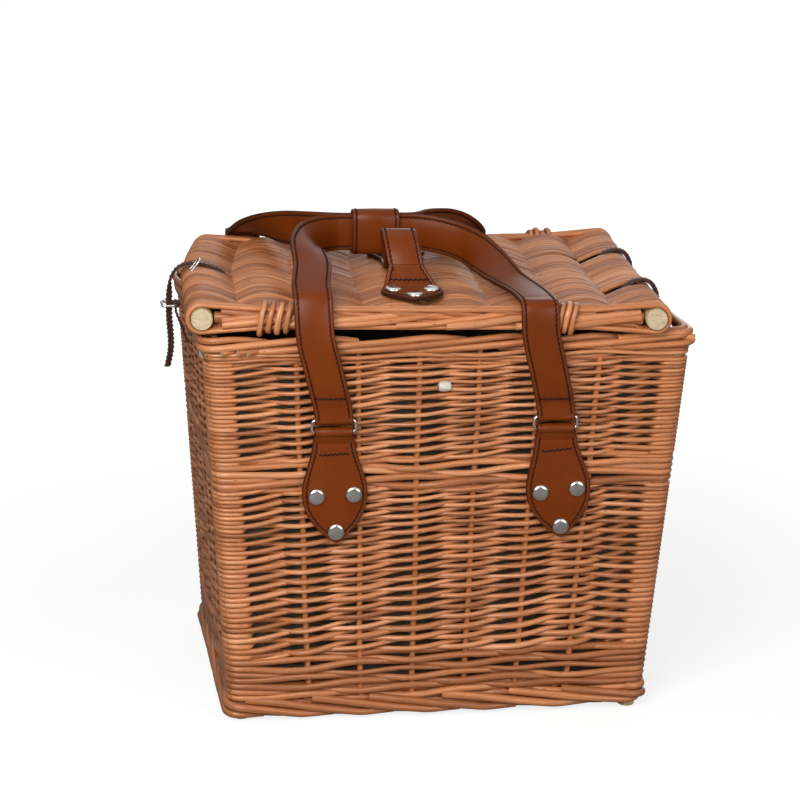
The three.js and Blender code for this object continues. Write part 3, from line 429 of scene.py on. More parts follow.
def willow(name, dark, middle, pale, cut):
    """Peeled willow: each rod has its own tint, with streaks and specks along its grain."""
    nodes = material_nodes(name)
    grain = nodes.attribute("grain")
    colour = nodes.ramp(nodes.shade(TINT), (0.0, dark), (0.5, middle), (1.0, pale))
    streaks = nodes.noise(grain, (0.5, 2.6, 2.6), detail=4.0, rough=0.6)
    colour = nodes.shaded(colour, streaks, (0.3, (0.72, 0.66, 0.6)), (0.62, (1.12, 1.12, 1.1)))
    patches = nodes.noise(grain, (0.22, 0.4, 0.4), detail=2.0)
    colour = nodes.shaded(colour, patches, (0.35, (0.84, 0.8, 0.76)), (0.65, (1.1, 1.1, 1.12)))
    specks = nodes.noise(grain, (5.0, 1.6, 1.6), detail=1.0)
    specks = nodes.ramp(specks, (0.73, (0, 0, 0)), (0.78, (1, 1, 1)))
    colour = nodes.mix(nodes.part(specks, 0), colour, (0.11, 0.04, 0.018))
    colour = nodes.mix(nodes.shade(EDGE), colour, cut)
    fibres = nodes.noise(grain, (0.7, 6.0, 6.0))
    return nodes.finish(
        Base_Color=colour, Roughness=nodes.span(streaks, 0.42, 0.26, start=0.3, end=0.7),
        Normal=nodes.bump(fibres, strength=0.35, distance=0.0004), Specular_IOR_Level=0.5,
    )


def wood(name):
    """Pale dowel wood: fine fibres along it, saw marks and pores across its ends."""
    nodes = material_nodes(name)
    fibres = nodes.noise(nodes.attribute("grain"), (0.4, 5.0, 5.0), detail=4.0, rough=0.6)
    side = nodes.ramp(fibres, (0.3, (0.42, 0.29, 0.13)), (0.6, (0.62, 0.48, 0.27)))
    saw = nodes.noise(nodes.place(), (260.0, 260.0, 2600.0), rough=0.7)
    ends = nodes.ramp(
        saw, (0.34, (0.36, 0.26, 0.14)), (0.5, (0.56, 0.44, 0.28)), (0.7, (0.67, 0.56, 0.39)),
    )
    return nodes.finish(
        Base_Color=nodes.mix(nodes.shade(EDGE), side, ends), Roughness=0.65,
        Normal=nodes.bump(saw, strength=0.3, distance=0.0003), Specular_IOR_Level=0.3,
    )


def leather(name, face, worn, edge_colour, rough):
    """Smooth coated leather: fine grain, soft patches, dark painted edges."""
    nodes = material_nodes(name)
    place = nodes.place()
    patches = nodes.noise(place, 26.0)
    colour = nodes.mix(nodes.span(patches, 0.0, 1.0, start=0.35, end=0.7), face, worn)
    pores = nodes.noise(place, 1500.0, detail=2.0)
    colour = nodes.shaded(colour, pores, (0.3, (0.86, 0.84, 0.82)), (0.6, (1.04, 1.04, 1.04)))
    colour = nodes.mix(nodes.shade(EDGE), colour, edge_colour)
    cells = nodes.node(
        "ShaderNodeTexVoronoi", {"Vector": place, "Scale": 1100.0}, feature="DISTANCE_TO_EDGE",
    )
    grain = nodes.bump(cells.outputs["Distance"], strength=0.1, distance=0.0002)
    return nodes.finish(
        Base_Color=colour, Roughness=nodes.span(patches, rough - 0.05, rough + 0.07),
        Normal=nodes.bump(patches, strength=0.12, distance=0.002, Normal=grain),
        Specular_IOR_Level=0.06, Coat_Weight=0.22, Coat_Roughness=0.32,
    )


def nickel(name):
    """Plated metal with faint scratches and cloudy patches."""
    nodes = material_nodes(name)
    place = nodes.place()
    scratches = nodes.noise(place, (300.0, 2600.0, 900.0), detail=2.0)
    clouds = nodes.noise(place, 160.0)
    return nodes.finish(
        Base_Color=nodes.ramp(clouds, (0.3, (0.54, 0.5, 0.47)), (0.7, (0.69, 0.65, 0.62))),
        Roughness=nodes.span(scratches, 0.14, 0.3), Metallic=1.0,
        Normal=nodes.bump(scratches, strength=0.06, distance=0.0001),
    )


def cloth(name, warp, weft):
    """Plain woven cloth: two thread colours in long slubs, over a relief of small squares."""
    nodes = material_nodes(name)
    place = nodes.place()
    weave = nodes.node("ShaderNodeTexChecker", {"Vector": place, "Scale": 1400.0}).outputs["Fac"]
    slubs = nodes.noise(place, (60.0, 60.0, 500.0))
    return nodes.finish(
        Base_Color=nodes.mix(nodes.span(slubs, 0.0, 1.0, start=0.3, end=0.7), warp, weft), Roughness=0.9,
        Normal=nodes.bump(weave, strength=0.3, distance=0.0003), Sheen_Weight=0.2,
    )


def thread(name, dark, light):
    """Twisted sewing thread."""
    nodes = material_nodes(name)
    twist = nodes.noise(nodes.attribute("grain"), (30.0, 2.0, 2.0), detail=2.0)
    return nodes.finish(
        Base_Color=nodes.ramp(twist, (0.35, dark), (0.65, light)), Roughness=0.7,
        Normal=nodes.bump(twist, strength=0.4, distance=0.0002), Specular_IOR_Level=0.15,
    )


def plastic(name):
    """Milky plastic tie."""
    nodes = material_nodes(name)
    clouds = nodes.noise(nodes.place(), 400.0, detail=2.0)
    return nodes.finish(
        Base_Color=nodes.ramp(clouds, (0.3, (0.5, 0.47, 0.41)), (0.7, (0.68, 0.65, 0.59))),
        Roughness=0.4, Normal=nodes.bump(clouds, strength=0.1, distance=0.0004),
    )


FINISHES = {
    "willow": willow(
        "willow", dark=(0.322, 0.106, 0.033), middle=(0.532, 0.203, 0.075), pale=(0.66, 0.298, 0.138),
        cut=(0.44, 0.25, 0.14),
    ),
    "pale_wood": wood("pale_wood"),
    "tan_leather": leather(
        "tan_leather", face=(0.15, 0.0272, 0.0016), worn=(0.18, 0.0338, 0.0026),
        edge_colour=(0.05, 0.012, 0.004), rough=0.4,
    ),
    "dark_leather": leather(
        "dark_leather", face=(0.07, 0.03, 0.021), worn=(0.11, 0.052, 0.04),
        edge_colour=(0.045, 0.02, 0.015), rough=0.42,
    ),
    "nickel": nickel("nickel"),
    # The liner's grey cloth colours are darkened: painted shade inside the basket
    "grey_cloth": cloth("grey_cloth", warp=(0.064, 0.051, 0.033), weft=(0.098, 0.08, 0.055)),
    "thread": thread("thread", dark=(0.004, 0.003, 0.003), light=(0.014, 0.01, 0.009)),
    "tie": plastic("tie"),
}


# Woven walls: rods wave in and out round the stakes and climb two rows every two stakes

LONG_WALL_STAKES, SHORT_WALL_STAKES = 6, 4
WALLS = {
    "front": (0.0, True, LONG_WALL_STAKES),
    "right": (math.pi / 2, False, SHORT_WALL_STAKES),
    "back": (math.pi, True, LONG_WALL_STAKES),
    "left": (1.5 * math.pi, False, SHORT_WALL_STAKES),
}
BASE_WALE_TOP, MIDDLE_WALE_LOW, MIDDLE_WALE_HIGH, TOP_WALE_LOW = 48, 181, 200, 278
BAND_LAP, BAND_SINK = 4.5, 3.2

# A rod's course: its step, its depth inside the stakes, and where it dives behind the corner posts
ROD_STEP, ROD_FILL, SWING = 2.5, 1.06, 3.3
POST_EDGE, DIVE_FROM, DIVE_TO, DIVE_END = 22, 18.5, 24.5, 33
DIVE_DEPTH = 1.8
OUTWARD_CLIMB, INWARD_CLIMB, DIVING_CLIMB, LAST_CLIMB = 0.6, 1.4, 0.7, 2
CLIMB_EASE, CLIMB_SMOOTHING = 1.25, 14
WALE_DEPTH, WALE_LEAN = 0.75, (0.0, -0.5, 0.5)

# How uneven the rods are, away from the corners. A stray is the height and the length of a wave, and a
# shift is the rise that moves it on by one radian
CORNER_RUN = 40
LONG_STRAY, LONG_SHIFT, SHORT_STRAY, SHORT_SHIFT = (0.7, 41), 17, (0.5, 19), -29
ROD_STRAY, DEPTH_STRAY = (0.35, 23), (0.2, 13)
ROD_TAPER, SIZE_SPREAD = (1.06, 0.93), 0.09
ROD_TINT_SPREAD, BAND_TINT_SPREAD, MOST_ROWS = 0.1, 0.2, 80

# Stakes in the middle of the weave, and the corner posts with their pegs
STAKE_RADIUS, STAKE_DEPTH, STAKE_STRAY, STAKE_TINT = 2.3, 1.8 + SWING, (0.4, 23), 0.3
POST_RADIUS, PEG_RADIUS, PEG_BEVEL = 7, 6.8, 0.8


def wall_sizes(long, z):
    """Half the wall's length, and its distance from the body's middle, at a height."""
    return (half_width(z), half_depth(z)) if long else (half_depth(z), half_width(z))


def wall_points(wall, w, n, z):
    """Points of a wall: w along it and on round the posts, n inward from its face."""
    turn, long, _ = WALLS[wall]
    half, face = wall_sizes(long, z)
    end = half - COLUMN_RADIUS
    bend = np.clip((np.abs(w) - end) / COLUMN_RADIUS, 0, math.pi / 4)
    reach = COLUMN_RADIUS - n
    along = np.sign(w) * (np.minimum(np.abs(w), end) + reach * np.sin(bend))
    out = face - COLUMN_RADIUS + reach * np.cos(bend)
    c, s = math.cos(turn), math.sin(turn)
    return xyz(along * c + out * s, along * s - out * c, z)


def stake_place(wall, i, z):
    _, long, stakes = WALLS[wall]
    end = wall_sizes(long, z)[0] - 2 * COLUMN_RADIUS - GAP
    return -end + 2 * end * i / (stakes + 1)


def place_on(wall, spot, z):
    """A place along a wall: a stake's number, or a side and a distance from that end of the wall."""
    if not isinstance(spot, tuple):
        return stake_place(wall, spot, z)
    side, from_end = spot
    half = wall_sizes(WALLS[wall][1], z)[0]
    if from_end == 0:
        return side * (half - COLUMN_RADIUS + COLUMN_RADIUS * math.pi / 4)
    return side * (half - from_end)


def rows_between(low, high, pitch_low, pitch_high):
    """Heights of the rows of a band, and each row's pitch. The band reaches under its neighbours."""
    low, high = low - BAND_LAP, high + BAND_LAP
    count = round(2 * (high - low) / (pitch_low + pitch_high))
    edges = np.concatenate([[0], np.cumsum(np.linspace(pitch_low, pitch_high, count))])
    edges *= (high - low) / edges[-1]
    return low + (edges[:-1] + edges[1:]) / 2, np.diff(edges)


def course(stakes, row):
    """One rod's way along a wall from its first row: at each place its depth, 0 outside the stakes
    and 1 inside, and its row there."""
    outside = row % 2 == 1
    way = [((-1, 0), 0, row)]
    if outside:
        way.append(((-1, DIVE_FROM), 0, row))
        way += [((-1, inset_by), DIVE_DEPTH, row) for inset_by in (DIVE_TO, DIVE_END)]
    else:
        way.append(((-1, POST_EDGE), 0, row))
    for i in range(1, stakes + 1):
        row += OUTWARD_CLIMB if outside else INWARD_CLIMB
        way.append((i, 0 if outside else 1, row))
        outside = not outside
    if outside:
        way.append(((1, POST_EDGE), 0, row))
    else:
        way.append(((1, DIVE_END), DIVE_DEPTH, row + DIVING_CLIMB))
        row += LAST_CLIMB
        way += [((1, DIVE_TO), DIVE_DEPTH, row), ((1, DIVE_FROM), 0, row)]
    way.append(((1, 0), 0, row))
    return way


def climbing(t):
    return 1 - (1 - t) ** CLIMB_EASE


def unevenness(w, z, turn):
    """How far the rows of a wall stray from level: a long wave and a short one."""
    long_wave = wave(w, *LONG_STRAY, z / LONG_SHIFT + turn)
    return long_wave + wave(w, *SHORT_STRAY, z / SHORT_SHIFT + 2 * turn)


def lay_rod(skin, wall, way, band, tints):
    """Lays one rod along its way, with its tint running from its left end to its right one. Towards
    the corners it lies even, where it meets the rods of the next wall."""
    rng = skin.rng
    heights, pitches = rows_between(*band)
    index = np.arange(len(heights))
    spots, depths, rows = zip(*way)
    depths, rows = np.array(depths, float), np.array(rows, float)
    levels = np.interp(rows, index, heights)
    places = np.array([place_on(wall, spot, level) for spot, level in zip(spots, levels)])
    w = np.linspace(places[0], places[-1], max(6, round((places[-1] - places[0]) / ROD_STEP)))
    climb = smoothed(sampled(places, rows, w, climbing), CLIMB_SMOOTHING)
    depth = sampled(places, depths, w, eased)
    z = np.interp(climb, index, heights)
    free = eased(np.clip((place_on(wall, (1, 0), z) - np.abs(w)) / CORNER_RUN, 0, 1))
    z = z + free * (unevenness(w, z, WALLS[wall][0]) + wave(w, *ROD_STRAY, rng.uniform(0, 6)))
    taper = np.linspace(*rng.permutation(ROD_TAPER), len(w))
    spread = 1 + free * (rng.normal(1, SIZE_SPREAD) * taper - 1)
    radius = np.interp(climb, index, pitches) * ROD_FILL / 2 * spread
    n = radius + 2 * SWING * depth + free * wave(w, *DEPTH_STRAY, rng.uniform(0, 6))
    n = n + BAND_SINK * np.clip((np.maximum(band[0] - z, z - band[1]) + 1) / 2, 0, 1)
    tint = np.linspace(*tints, len(w)) + free * rng.normal(0, ROD_TINT_SPREAD)
    skin.rod(wall_points(wall, w, n, z), radius, tint=np.clip(tint, 0, 1))


def end_tints(wall, tints, first_row, last_row):
    """Tints of a rod's two ends. Each corner has one tint a row, so that rods match round it."""
    corner = list(WALLS).index(wall)
    return tints[corner][first_row], tints[(corner + 1) % len(WALLS)][last_row]


def randing(skin, wall, band, tints):
    """Fills a band of a wall with single rods that climb to the right."""
    last = len(rows_between(*band)[0]) - 1
    stakes = WALLS[wall][2]
    for start in range(-stakes - 2, last + 1):
        way = course(stakes, start)
        kept = [step for step in way if 0 <= step[2] <= last]
        while kept and kept[0] is not way[0] and kept[0][1] == 0:
            kept.pop(0)
        while kept and kept[-1] is not way[-1] and kept[-1][1] == 0:
            kept.pop()
        if len(kept) > 1:
            ends = end_tints(wall, tints, int(kept[0][2]), int(kept[-1][2]))
            lay_rod(skin, wall, kept, band, ends)


def waling(skin, wall, band, tints):
    """Fills a tight band with rods that pass outside two stakes and inside the third."""
    stakes = WALLS[wall][2]
    for row in range(len(rows_between(*band)[0])):
        way = [((-1, 0), 0, row), ((-1, POST_EDGE), 0, row)]
        for i in range(1, stakes + 1):
            turn = (i + row) % 3
            way.append((i, WALE_DEPTH if turn == 0 else 0, row + WALE_LEAN[turn]))
        way += [((1, POST_EDGE), 0, row), ((1, 0), 0, row)]
        lay_rod(skin, wall, way, band, end_tints(wall, tints, row, row))


# The bands from the foot up: their weave, their low and high edges and pitches, and their tint
BANDS = (
    (waling, (FOOT_HEIGHT + 1, BASE_WALE_TOP, 4.5, 4.5), 0.2),
    (randing, (BASE_WALE_TOP, MIDDLE_WALE_LOW, 4.3, 2.9), 0.48),
    (waling, (MIDDLE_WALE_LOW, MIDDLE_WALE_HIGH, 4.7, 4.7), 0.4),
    (randing, (MIDDLE_WALE_HIGH, TOP_WALE_LOW, 3.5, 2.8), 0.52),
    (waling, (TOP_WALE_LOW, WALL_TOP + 1, 3.0, 3.0), 0.5),
)


def add_stakes(skin, wall):
    z = np.linspace(FOOT_HEIGHT - 4, RIM_LOW + 3, 60)
    up = math.cos(1) * ALONG_X + math.sin(1) * ALONG_Y
    for i in range(1, WALLS[wall][2] + 1):
        path = wall_points(wall, stake_place(wall, i, z) + wave(z, *STAKE_STRAY, i), STAKE_DEPTH, z)
        skin.rod(path, STAKE_RADIUS, up=up, tint=STAKE_TINT)


def add_walls():
    shades = np.random.default_rng(11)
    tints = [shades.normal(mean, BAND_TINT_SPREAD, (len(WALLS), MOST_ROWS)) for _, _, mean in BANDS]
    for k, wall in enumerate(WALLS):
        skin = Skin(seed=20 + k)
        for (weave, band, _), band_tints in zip(BANDS, tints):
            weave(skin, wall, band, band_tints)
        add_stakes(skin, wall)
        piece(f"{wall}_weave", skin, "willow", "basket", [f"{wall}_wall"])


def add_posts():
    """Corner posts, a little thinner below the foot border, where they show as pegs."""
    peg = [0, PEG_BEVEL, *np.linspace(2, FOOT_HEIGHT, 4)]
    z = np.concatenate([peg, np.linspace(FOOT_HEIGHT + 3, RIM_LOW, 20)])
    radius = np.where(z > FOOT_HEIGHT, POST_RADIUS, PEG_RADIUS).astype(float)
    radius[0] -= PEG_BEVEL
    for row, side_y in ROW_SIGNS.items():
        for side, side_x in (("left", -1), ("right", 1)):
            skin = Skin(seed=31)
            x, y = side_x * (half_width(z) - COLUMN_RADIUS), side_y * (half_depth(z) - COLUMN_RADIUS)
            skin.rod(xyz(x, y, z), radius, sides=24, up=ALONG_Y)
            piece(f"post_{row}_{side}", skin, "pale_wood", "basket", [f"corner_post_{row}_{side}"])


# Borders round the foot and the rim. A way gives each rod's inset and height from start to end

RIM_MIDDLE, FOOT_MIDDLE = (RIM_LOW + RIM_TOP) / 2, FOOT_HEIGHT / 2
RIM_WAY = (
    (0, 7, RIM_LOW + 0.5), (0.16, 0.5, RIM_LOW + 0.6), (0.4, -1.4, RIM_LOW + 3.6),
    (0.66, -1.2, RIM_LOW + 7.4), (0.84, 1.5, RIM_TOP - 2.4), (0.93, 7, RIM_TOP - 4.5), (1, 11, RIM_TOP - 7),
)
FOOT_WAY = (
    (0, 2.2, FOOT_HEIGHT + 1.6), (0.22, -0.6, FOOT_HEIGHT - 0.6), (0.5, -1.6, 9), (0.78, -0.6, 4.8),
    (1, 5, 4.2),
)
INNER_FOOT_WAY = ((0, 6, FOOT_HEIGHT + 1), (0.5, 6, 8), (1, 8, 3.4))
FOOT_LIFT = 2.6
BORDER_JITTER, BORDER_SWAY, BORDER_SIZES, BORDER_TINT_SPREAD = 0.12, 0.3, (0.92, 1.05), 0.14

# Rods coiled over the rim's front right corner: start and end along the rim, inset, height
RIM_COILS = ((-46, 78, 1.0, RIM_TOP - 1.5), (-30, 96, 5.0, RIM_TOP + 0.6))
COIL_RADIUS, COIL_DROP, COIL_TINT = 2.9, 3.5, 0.55

# Cut rod ends at the rim, three at its front left and one at its front right: place, direction, length,
# radius and tint
RIM_FRONT = -half_depth(WALL_TOP)
CUT_PLACE, CUT_WAY = (RIM_FRONT + 3, RIM_LOW + 1.2), (-0.9, -0.55, -0.05)
RIM_STUBS = (
    ((-157, *CUT_PLACE), CUT_WAY, 12, 2.4, 0.35),
    ((-145, *CUT_PLACE), CUT_WAY, 12, 2.2, 0.35),
    ((-138, *CUT_PLACE), CUT_WAY, 12, 2.4, 0.35),
    ((half_width(RIM_TOP) - 16, RIM_FRONT + 6, RIM_LOW + 8), (1, -0.25, -0.12), 17.5, 3.1, 0.6),
)


def around(w, n, z):
    """Points round the body's outline, counter-clockwise from the front's left end, n inward, and
    the outline's whole length."""
    reach_x, reach_y = half_width(z) - COLUMN_RADIUS, half_depth(z) - COLUMN_RADIUS
    arc = COLUMN_RADIUS * math.pi / 2
    sides = (
        (2 * reach_x, (-reach_x, -reach_y)), (2 * reach_y, (reach_x, -reach_y)),
        (2 * reach_x, (reach_x, reach_y)), (2 * reach_y, (-reach_x, reach_y)),
    )
    total = sum(length for length, _ in sides) + 4 * arc
    w = np.mod(w, total)
    reach = np.broadcast_to(COLUMN_RADIUS - n, w.shape)[:, None]
    points = np.full((len(w), 3), z)
    begin = 0.0
    for k, (length, start) in enumerate(sides):
        along = np.array((math.cos(k * math.pi / 2), math.sin(k * math.pi / 2)))
        turn = np.clip((w - begin - length) / COLUMN_RADIUS, 0, math.pi / 2) + (k - 1) * math.pi / 2
        straight = np.clip(w - begin, 0, length)
        here = (w >= begin) & (w <= begin + length + arc)
        out = np.stack([np.cos(turn), np.sin(turn)], -1) * reach
        points[here, :2] = (np.array(start) + straight[:, None] * along + out)[here]
        begin += length + arc
    return points, total


def border(skin, way, z_middle, rods, spans, radius, cuts, tint, lift=0.0):
    """A border of slanting rods, each as long as a number of spans between rods. The cuts thicken or
    thin its two ends. The lift raises it towards its right end."""
    t = np.linspace(0, 1, 48)
    stops, insets, heights = np.array(way).T
    _, total = around(np.zeros(1), 0.0, z_middle)
    for k in range(rods):
        start = (k + skin.rng.uniform(-BORDER_JITTER, BORDER_JITTER)) * total / rods
        n = smoothed(np.interp(t, stops, insets) + BORDER_SWAY * np.sin(5 * t + k), 3)
        z = smoothed(np.interp(t, stops, heights) + BORDER_SWAY * np.sin(7 * t + 2 * k), 3)
        size = radius * skin.rng.uniform(*BORDER_SIZES) * np.interp(t, (0, 1), cuts)
        points, _ = around(start + t * spans * total / rods, n, z_middle)
        points[:, 2] = z + lift * np.clip(2 * points[:, 0] / BASE_WIDTH, 0, 1)
        skin.rod(points, size, sides=10, tint=np.clip(skin.rng.normal(tint, BORDER_TINT_SPREAD), 0, 1))


def stub(skin, place, direction, length, radius, tint):
    """The cut end of a rod, sticking out of the weave."""
    path = np.array(place) + np.linspace(0, 1, 4)[:, None] * unit(np.array(direction)) * length
    skin.rod(path, radius, sides=12, up=np.array((0.3, 0.2, 1.0)), tint=tint)


def add_borders():
    rim = Skin(seed=41)
    # The rim's rods are tinted a little darker: painted shade from the lid above them
    border(rim, RIM_WAY, RIM_MIDDLE, rods=18, spans=2.6, radius=2.6, cuts=(1.05, 0.9), tint=0.42)
    for cut_end in RIM_STUBS:
        stub(rim, *cut_end)
    corner = 2 * (half_width(RIM_MIDDLE) - COLUMN_RADIUS)
    for start, end, n, z in RIM_COILS:
        coil, _ = around(np.linspace(corner + start, corner + end, 40), n, RIM_MIDDLE)
        coil[:, 2] = z - COIL_DROP * np.linspace(-1, 1, 40) ** 2
        rim.rod(coil, COIL_RADIUS, sides=10, tint=COIL_TINT)
    piece("rim_rods", rim, "willow", "basket", ["rim_border"])
    foot = Skin(seed=43)
    outer = {"rods": 22, "spans": 2.3, "radius": 2.95, "cuts": (1.12, 0.92), "tint": 0.3}
    # The inner row's very dark tint is painted shade in the gaps between the outer rods
    inner = {"rods": 22, "spans": 2.6, "radius": 3.2, "cuts": (1.0, 1.0), "tint": 0.1}
    border(foot, FOOT_WAY, FOOT_MIDDLE, lift=FOOT_LIFT, **outer)
    border(foot, INNER_FOOT_WAY, FOOT_MIDDLE, lift=FOOT_LIFT, **inner)
    piece("foot_rods", foot, "willow", "basket", ["foot_border"])


# Base and liner

# The base's stakes, and its rods: their radius, half the depth of their waves, pitch, stray and tint
BASE_STAKES, BASE_STAKE_RADIUS, BASE_STAKE_TINT = 9, 2.4, 0.35
BASE_ROD, BASE_SWING, BASE_PITCH, BASE_STRAY, BASE_TINT = 1.9, 2.4, 4.0, (0.3, 30), (0.45, 0.15)
BASE_Z = FOOT_HEIGHT + GAP + BASE_THICKNESS / 2

# Rods round the base's edge: inset, height and radius
BASE_HOOPS = ((WALL_THICKNESS + 1.5, BASE_Z + 2.2, 5.8), (WALL_THICKNESS, BASE_Z - 7, 4.2))
HOOP_TINT = 0.2

# Liner, and its folds: their height, their number round it, and the rise that shifts them by one radian
LINER_LOW, LINER_TOP = FOOT_HEIGHT + GAP + BASE_THICKNESS + 2, WALL_TOP - 14
LINER_INSET, LINER_HEM, HEM_INSET = WALL_THICKNESS + 6.6, 12, 1.0
LINER_POINTS, LINER_CORNER, LINER_HANG = 360, 30, 1.6
LINER_FOLDS = ((0.9, 9, 60), (0.6, 17, -33))


def add_base():
    skin = Skin(seed=51)
    x_end, y_end = half_width(BASE_Z) - WALL_THICKNESS - 1, half_depth(BASE_Z) - WALL_THICKNESS - 1
    x = np.linspace(-x_end, x_end, 90)
    for k in range(int(2 * y_end / BASE_PITCH)):
        y = -y_end + BASE_PITCH * (k + 0.5) + wave(x, *BASE_STRAY, k)
        beat = (x + x_end) / (2 * x_end) * (BASE_STAKES + 1) + k
        path = xyz(x, y, BASE_Z + BASE_SWING * np.cos(math.pi * beat))
        skin.rod(path, BASE_ROD, sides=6, tint=np.clip(skin.rng.normal(*BASE_TINT), 0, 1))
    for i in range(1, BASE_STAKES + 1):
        stake_x = -x_end + 2 * x_end * i / (BASE_STAKES + 1)
        path = xyz(stake_x, np.linspace(-y_end - 4, y_end + 4, 30), BASE_Z)
        skin.rod(path, BASE_STAKE_RADIUS, tint=BASE_STAKE_TINT)
    _, whole = around(np.zeros(1), 0.0, BASE_Z)
    for n, height, radius in BASE_HOOPS:
        hoop, _ = around(np.linspace(0, whole, 240, endpoint=False), n, BASE_Z)
        hoop[:, 2] = height
        skin.rod(hoop, radius, sides=10, tint=HOOP_TINT, loop=True)
    piece("base_weave", skin, "willow", "basket", ["base_panel"])


def liner_ring(share, z, inset_by):
    """A level ring of the liner, with the same number of points at every height."""
    path = rounded_loop(share * (half_width(z) - inset_by), share * (half_depth(z) - inset_by), 1)
    run = run_of(path)
    ring = taken_at(np.arange(LINER_POINTS) * run[-1] / LINER_POINTS, run, path)
    ring[:, 2] = z
    return ring


def liner_side(z, inset_by):
    """A ring of the liner's sides, which hang inward in folds between its corners."""
    ring = liner_ring(1, z, inset_by)
    level = ring[:, :2]
    from_corner = np.max(np.max(level, axis=0) - np.abs(level), axis=1)
    hang = np.clip(from_corner / LINER_CORNER, 0, 1)
    turn = turns(LINER_POINTS)
    sway = sum(height * np.sin(count * turn + z / rise) for height, count, rise in LINER_FOLDS)
    inward = (hang * (LINER_HANG + sway))[:, None] * (z - LINER_LOW) / (LINER_TOP - LINER_LOW)
    ring[:, :2] -= unit(level) * inward
    return ring


def add_liner():
    """Cloth liner: a sewn open box with a turned hem at its top."""
    skin = Skin(seed=61)
    rings = [liner_ring(share, LINER_LOW, LINER_INSET) for share in np.linspace(0.05, 0.95, 10)]
    rings += [liner_side(z, LINER_INSET) for z in np.linspace(LINER_LOW, LINER_TOP, 40)]
    hem = np.linspace(LINER_TOP, LINER_TOP - LINER_HEM, 6)[1:]
    rings += [liner_side(z, LINER_INSET + HEM_INSET) for z in hem]
    points = np.concatenate(rings)
    faces = [grid(len(rings), LINER_POINTS)[:, ::-1], np.arange(LINER_POINTS)[None]]
    skin.add(points, faces, points / GRAIN_RUN)
    liner = piece("liner_cloth", skin, "grey_cloth", "basket", ["liner"])


# Lid

# The lid's stakes and dowel ends, then its rods: their pitch, size, heights over the dowels' middle, strays
# and tints
LID_STAKES, LID_STAKE_RADIUS, LID_STAKE_TINT = 6, 4, 0.35
LID_BORDER_DEPTH = 12
LID_SPAN = HINGE_X - LID_LEFT_X
DOWEL_FIT, DOWEL_BEVELS = 0.1, (0.6, 0.15)
LID_ROW_PITCH = 6.4
LID_ROD, LID_ROD_OVAL = 1.8, (1, 1.75)
LID_HIGH, LID_LOW = PANEL_ABOVE + PANEL_RELIEF - LID_ROD, -4.2
LID_MIDDLE_Z = (LID_HIGH + LID_LOW) / 2
LID_STRAY, LID_LIFT, LID_TINT_WAVE = (0.7, 37), (0.45, 21), (0.12, 60)
LID_ROD_SIZES, LID_TINT = (0.88, 1.08), (0.3, 0.25)

# Slots for the laces at the dowels, each with its length, and how the rods part there
SLOTS = ((HINGE_X, -HINGE_LACE_Y, 38), (HINGE_X, HINGE_LACE_Y, 38), (LID_LEFT_X, CLOSURE_Y, 30))
SLOT_HALF, SLOT_HALF_BELOW, SLOT_SPREAD, SLOT_END = 6.5, 11.0, 12.0, 12.0

# Slanting rods of the lid's borders at stops along them: those in front rise, those behind fall. They
# start at a distance from the left dowel and spare a length at the right
LID_BORDER_RODS, LID_BORDER_LENGTH, LID_BORDER_SIZE = 7, 108, 2.6
LID_BORDER_STOPS = (0, 0.2, 1)
LID_BORDER_RISE, LID_BORDER_SINK = (-5.0, -3.4, 6.0), (2.8, 2.2, 8.0)
LID_BORDER_FALL, LID_BORDER_BEHIND = (5.0, 3.0, -6.0), (6.4, 5.6, 8.4)
FRONT_START, FRONT_SPARE, FRONT_JITTER, FRONT_TINTS, FRONT_SIZES = 15, 40, 6, (0.3, 0.85), (0.85, 1.12)
# The rods behind are tinted darker: painted shade
BEHIND_START, BEHIND_SPARE, BEHIND_PAINTED_SHADE_TINTS = 14, 60, (0, 0.35)
LID_BORDER_LEFT, LID_BORDER_RIGHT = LID_LEFT_X + 12, HINGE_X - 9
LID_RAILS, RAIL_DRAWN, RAIL_TINTS = ((4.6, 1.9), (9.4, 2.1)), 0.36, (0.45, 0.7)
# The core's dark tint is painted shade between the border's rods
LID_CORE_DEPTH, LID_CORE_RADIUS, LID_CORE_PAINTED_SHADE = 9.0, 4.4, 0.1

# Bindings of the lid's borders: their size round them, their rod, and each one's middle and spread
BINDING_SPREAD, BINDING_TURNS, BINDING_SIZE, BINDING_SLANT = 19.5, 4, (8.4, 10.2), 3.6
BINDING_ROD, BINDING_OVAL, BINDING_TINT = 2.1, (0.85, 1), 0.55
BINDINGS = {
    ("front", "left"): (LID_LEFT_X + 53, 1.3 * BINDING_SPREAD),
    ("front", "right"): (HINGE_X - 68, BINDING_SPREAD),
    ("back", "left"): (LID_LEFT_X + 66, BINDING_SPREAD),
    ("back", "right"): (HINGE_X - 52, BINDING_SPREAD),
}


def lid_stake(i):
    return LID_LEFT_X + LID_SPAN * i / (LID_STAKES + 1)


def parted(x, y, z):
    """Rods pushed aside beside the lace slots at the dowels, those below further than those above."""
    below = np.clip((LID_MIDDLE_Z - z) / 4, 0, 1)
    half = SLOT_HALF + (SLOT_HALF_BELOW - SLOT_HALF) * below
    for slot_x, slot_y, length in SLOTS:
        near = eased(np.clip((length - np.abs(x - slot_x)) / SLOT_END, 0, 1))
        away = y - slot_y
        y = y + np.where(away < 0, -1, 1) * half * np.exp(-(away / SLOT_SPREAD) ** 2) * near
    return y


def arc(middle_x, radius, start, end, count):
    """Points round a dowel in X and Z, from one angle to another."""
    turn = np.linspace(start, end, count)
    return np.stack([middle_x + radius * np.cos(turn), radius * np.sin(turn)], -1)


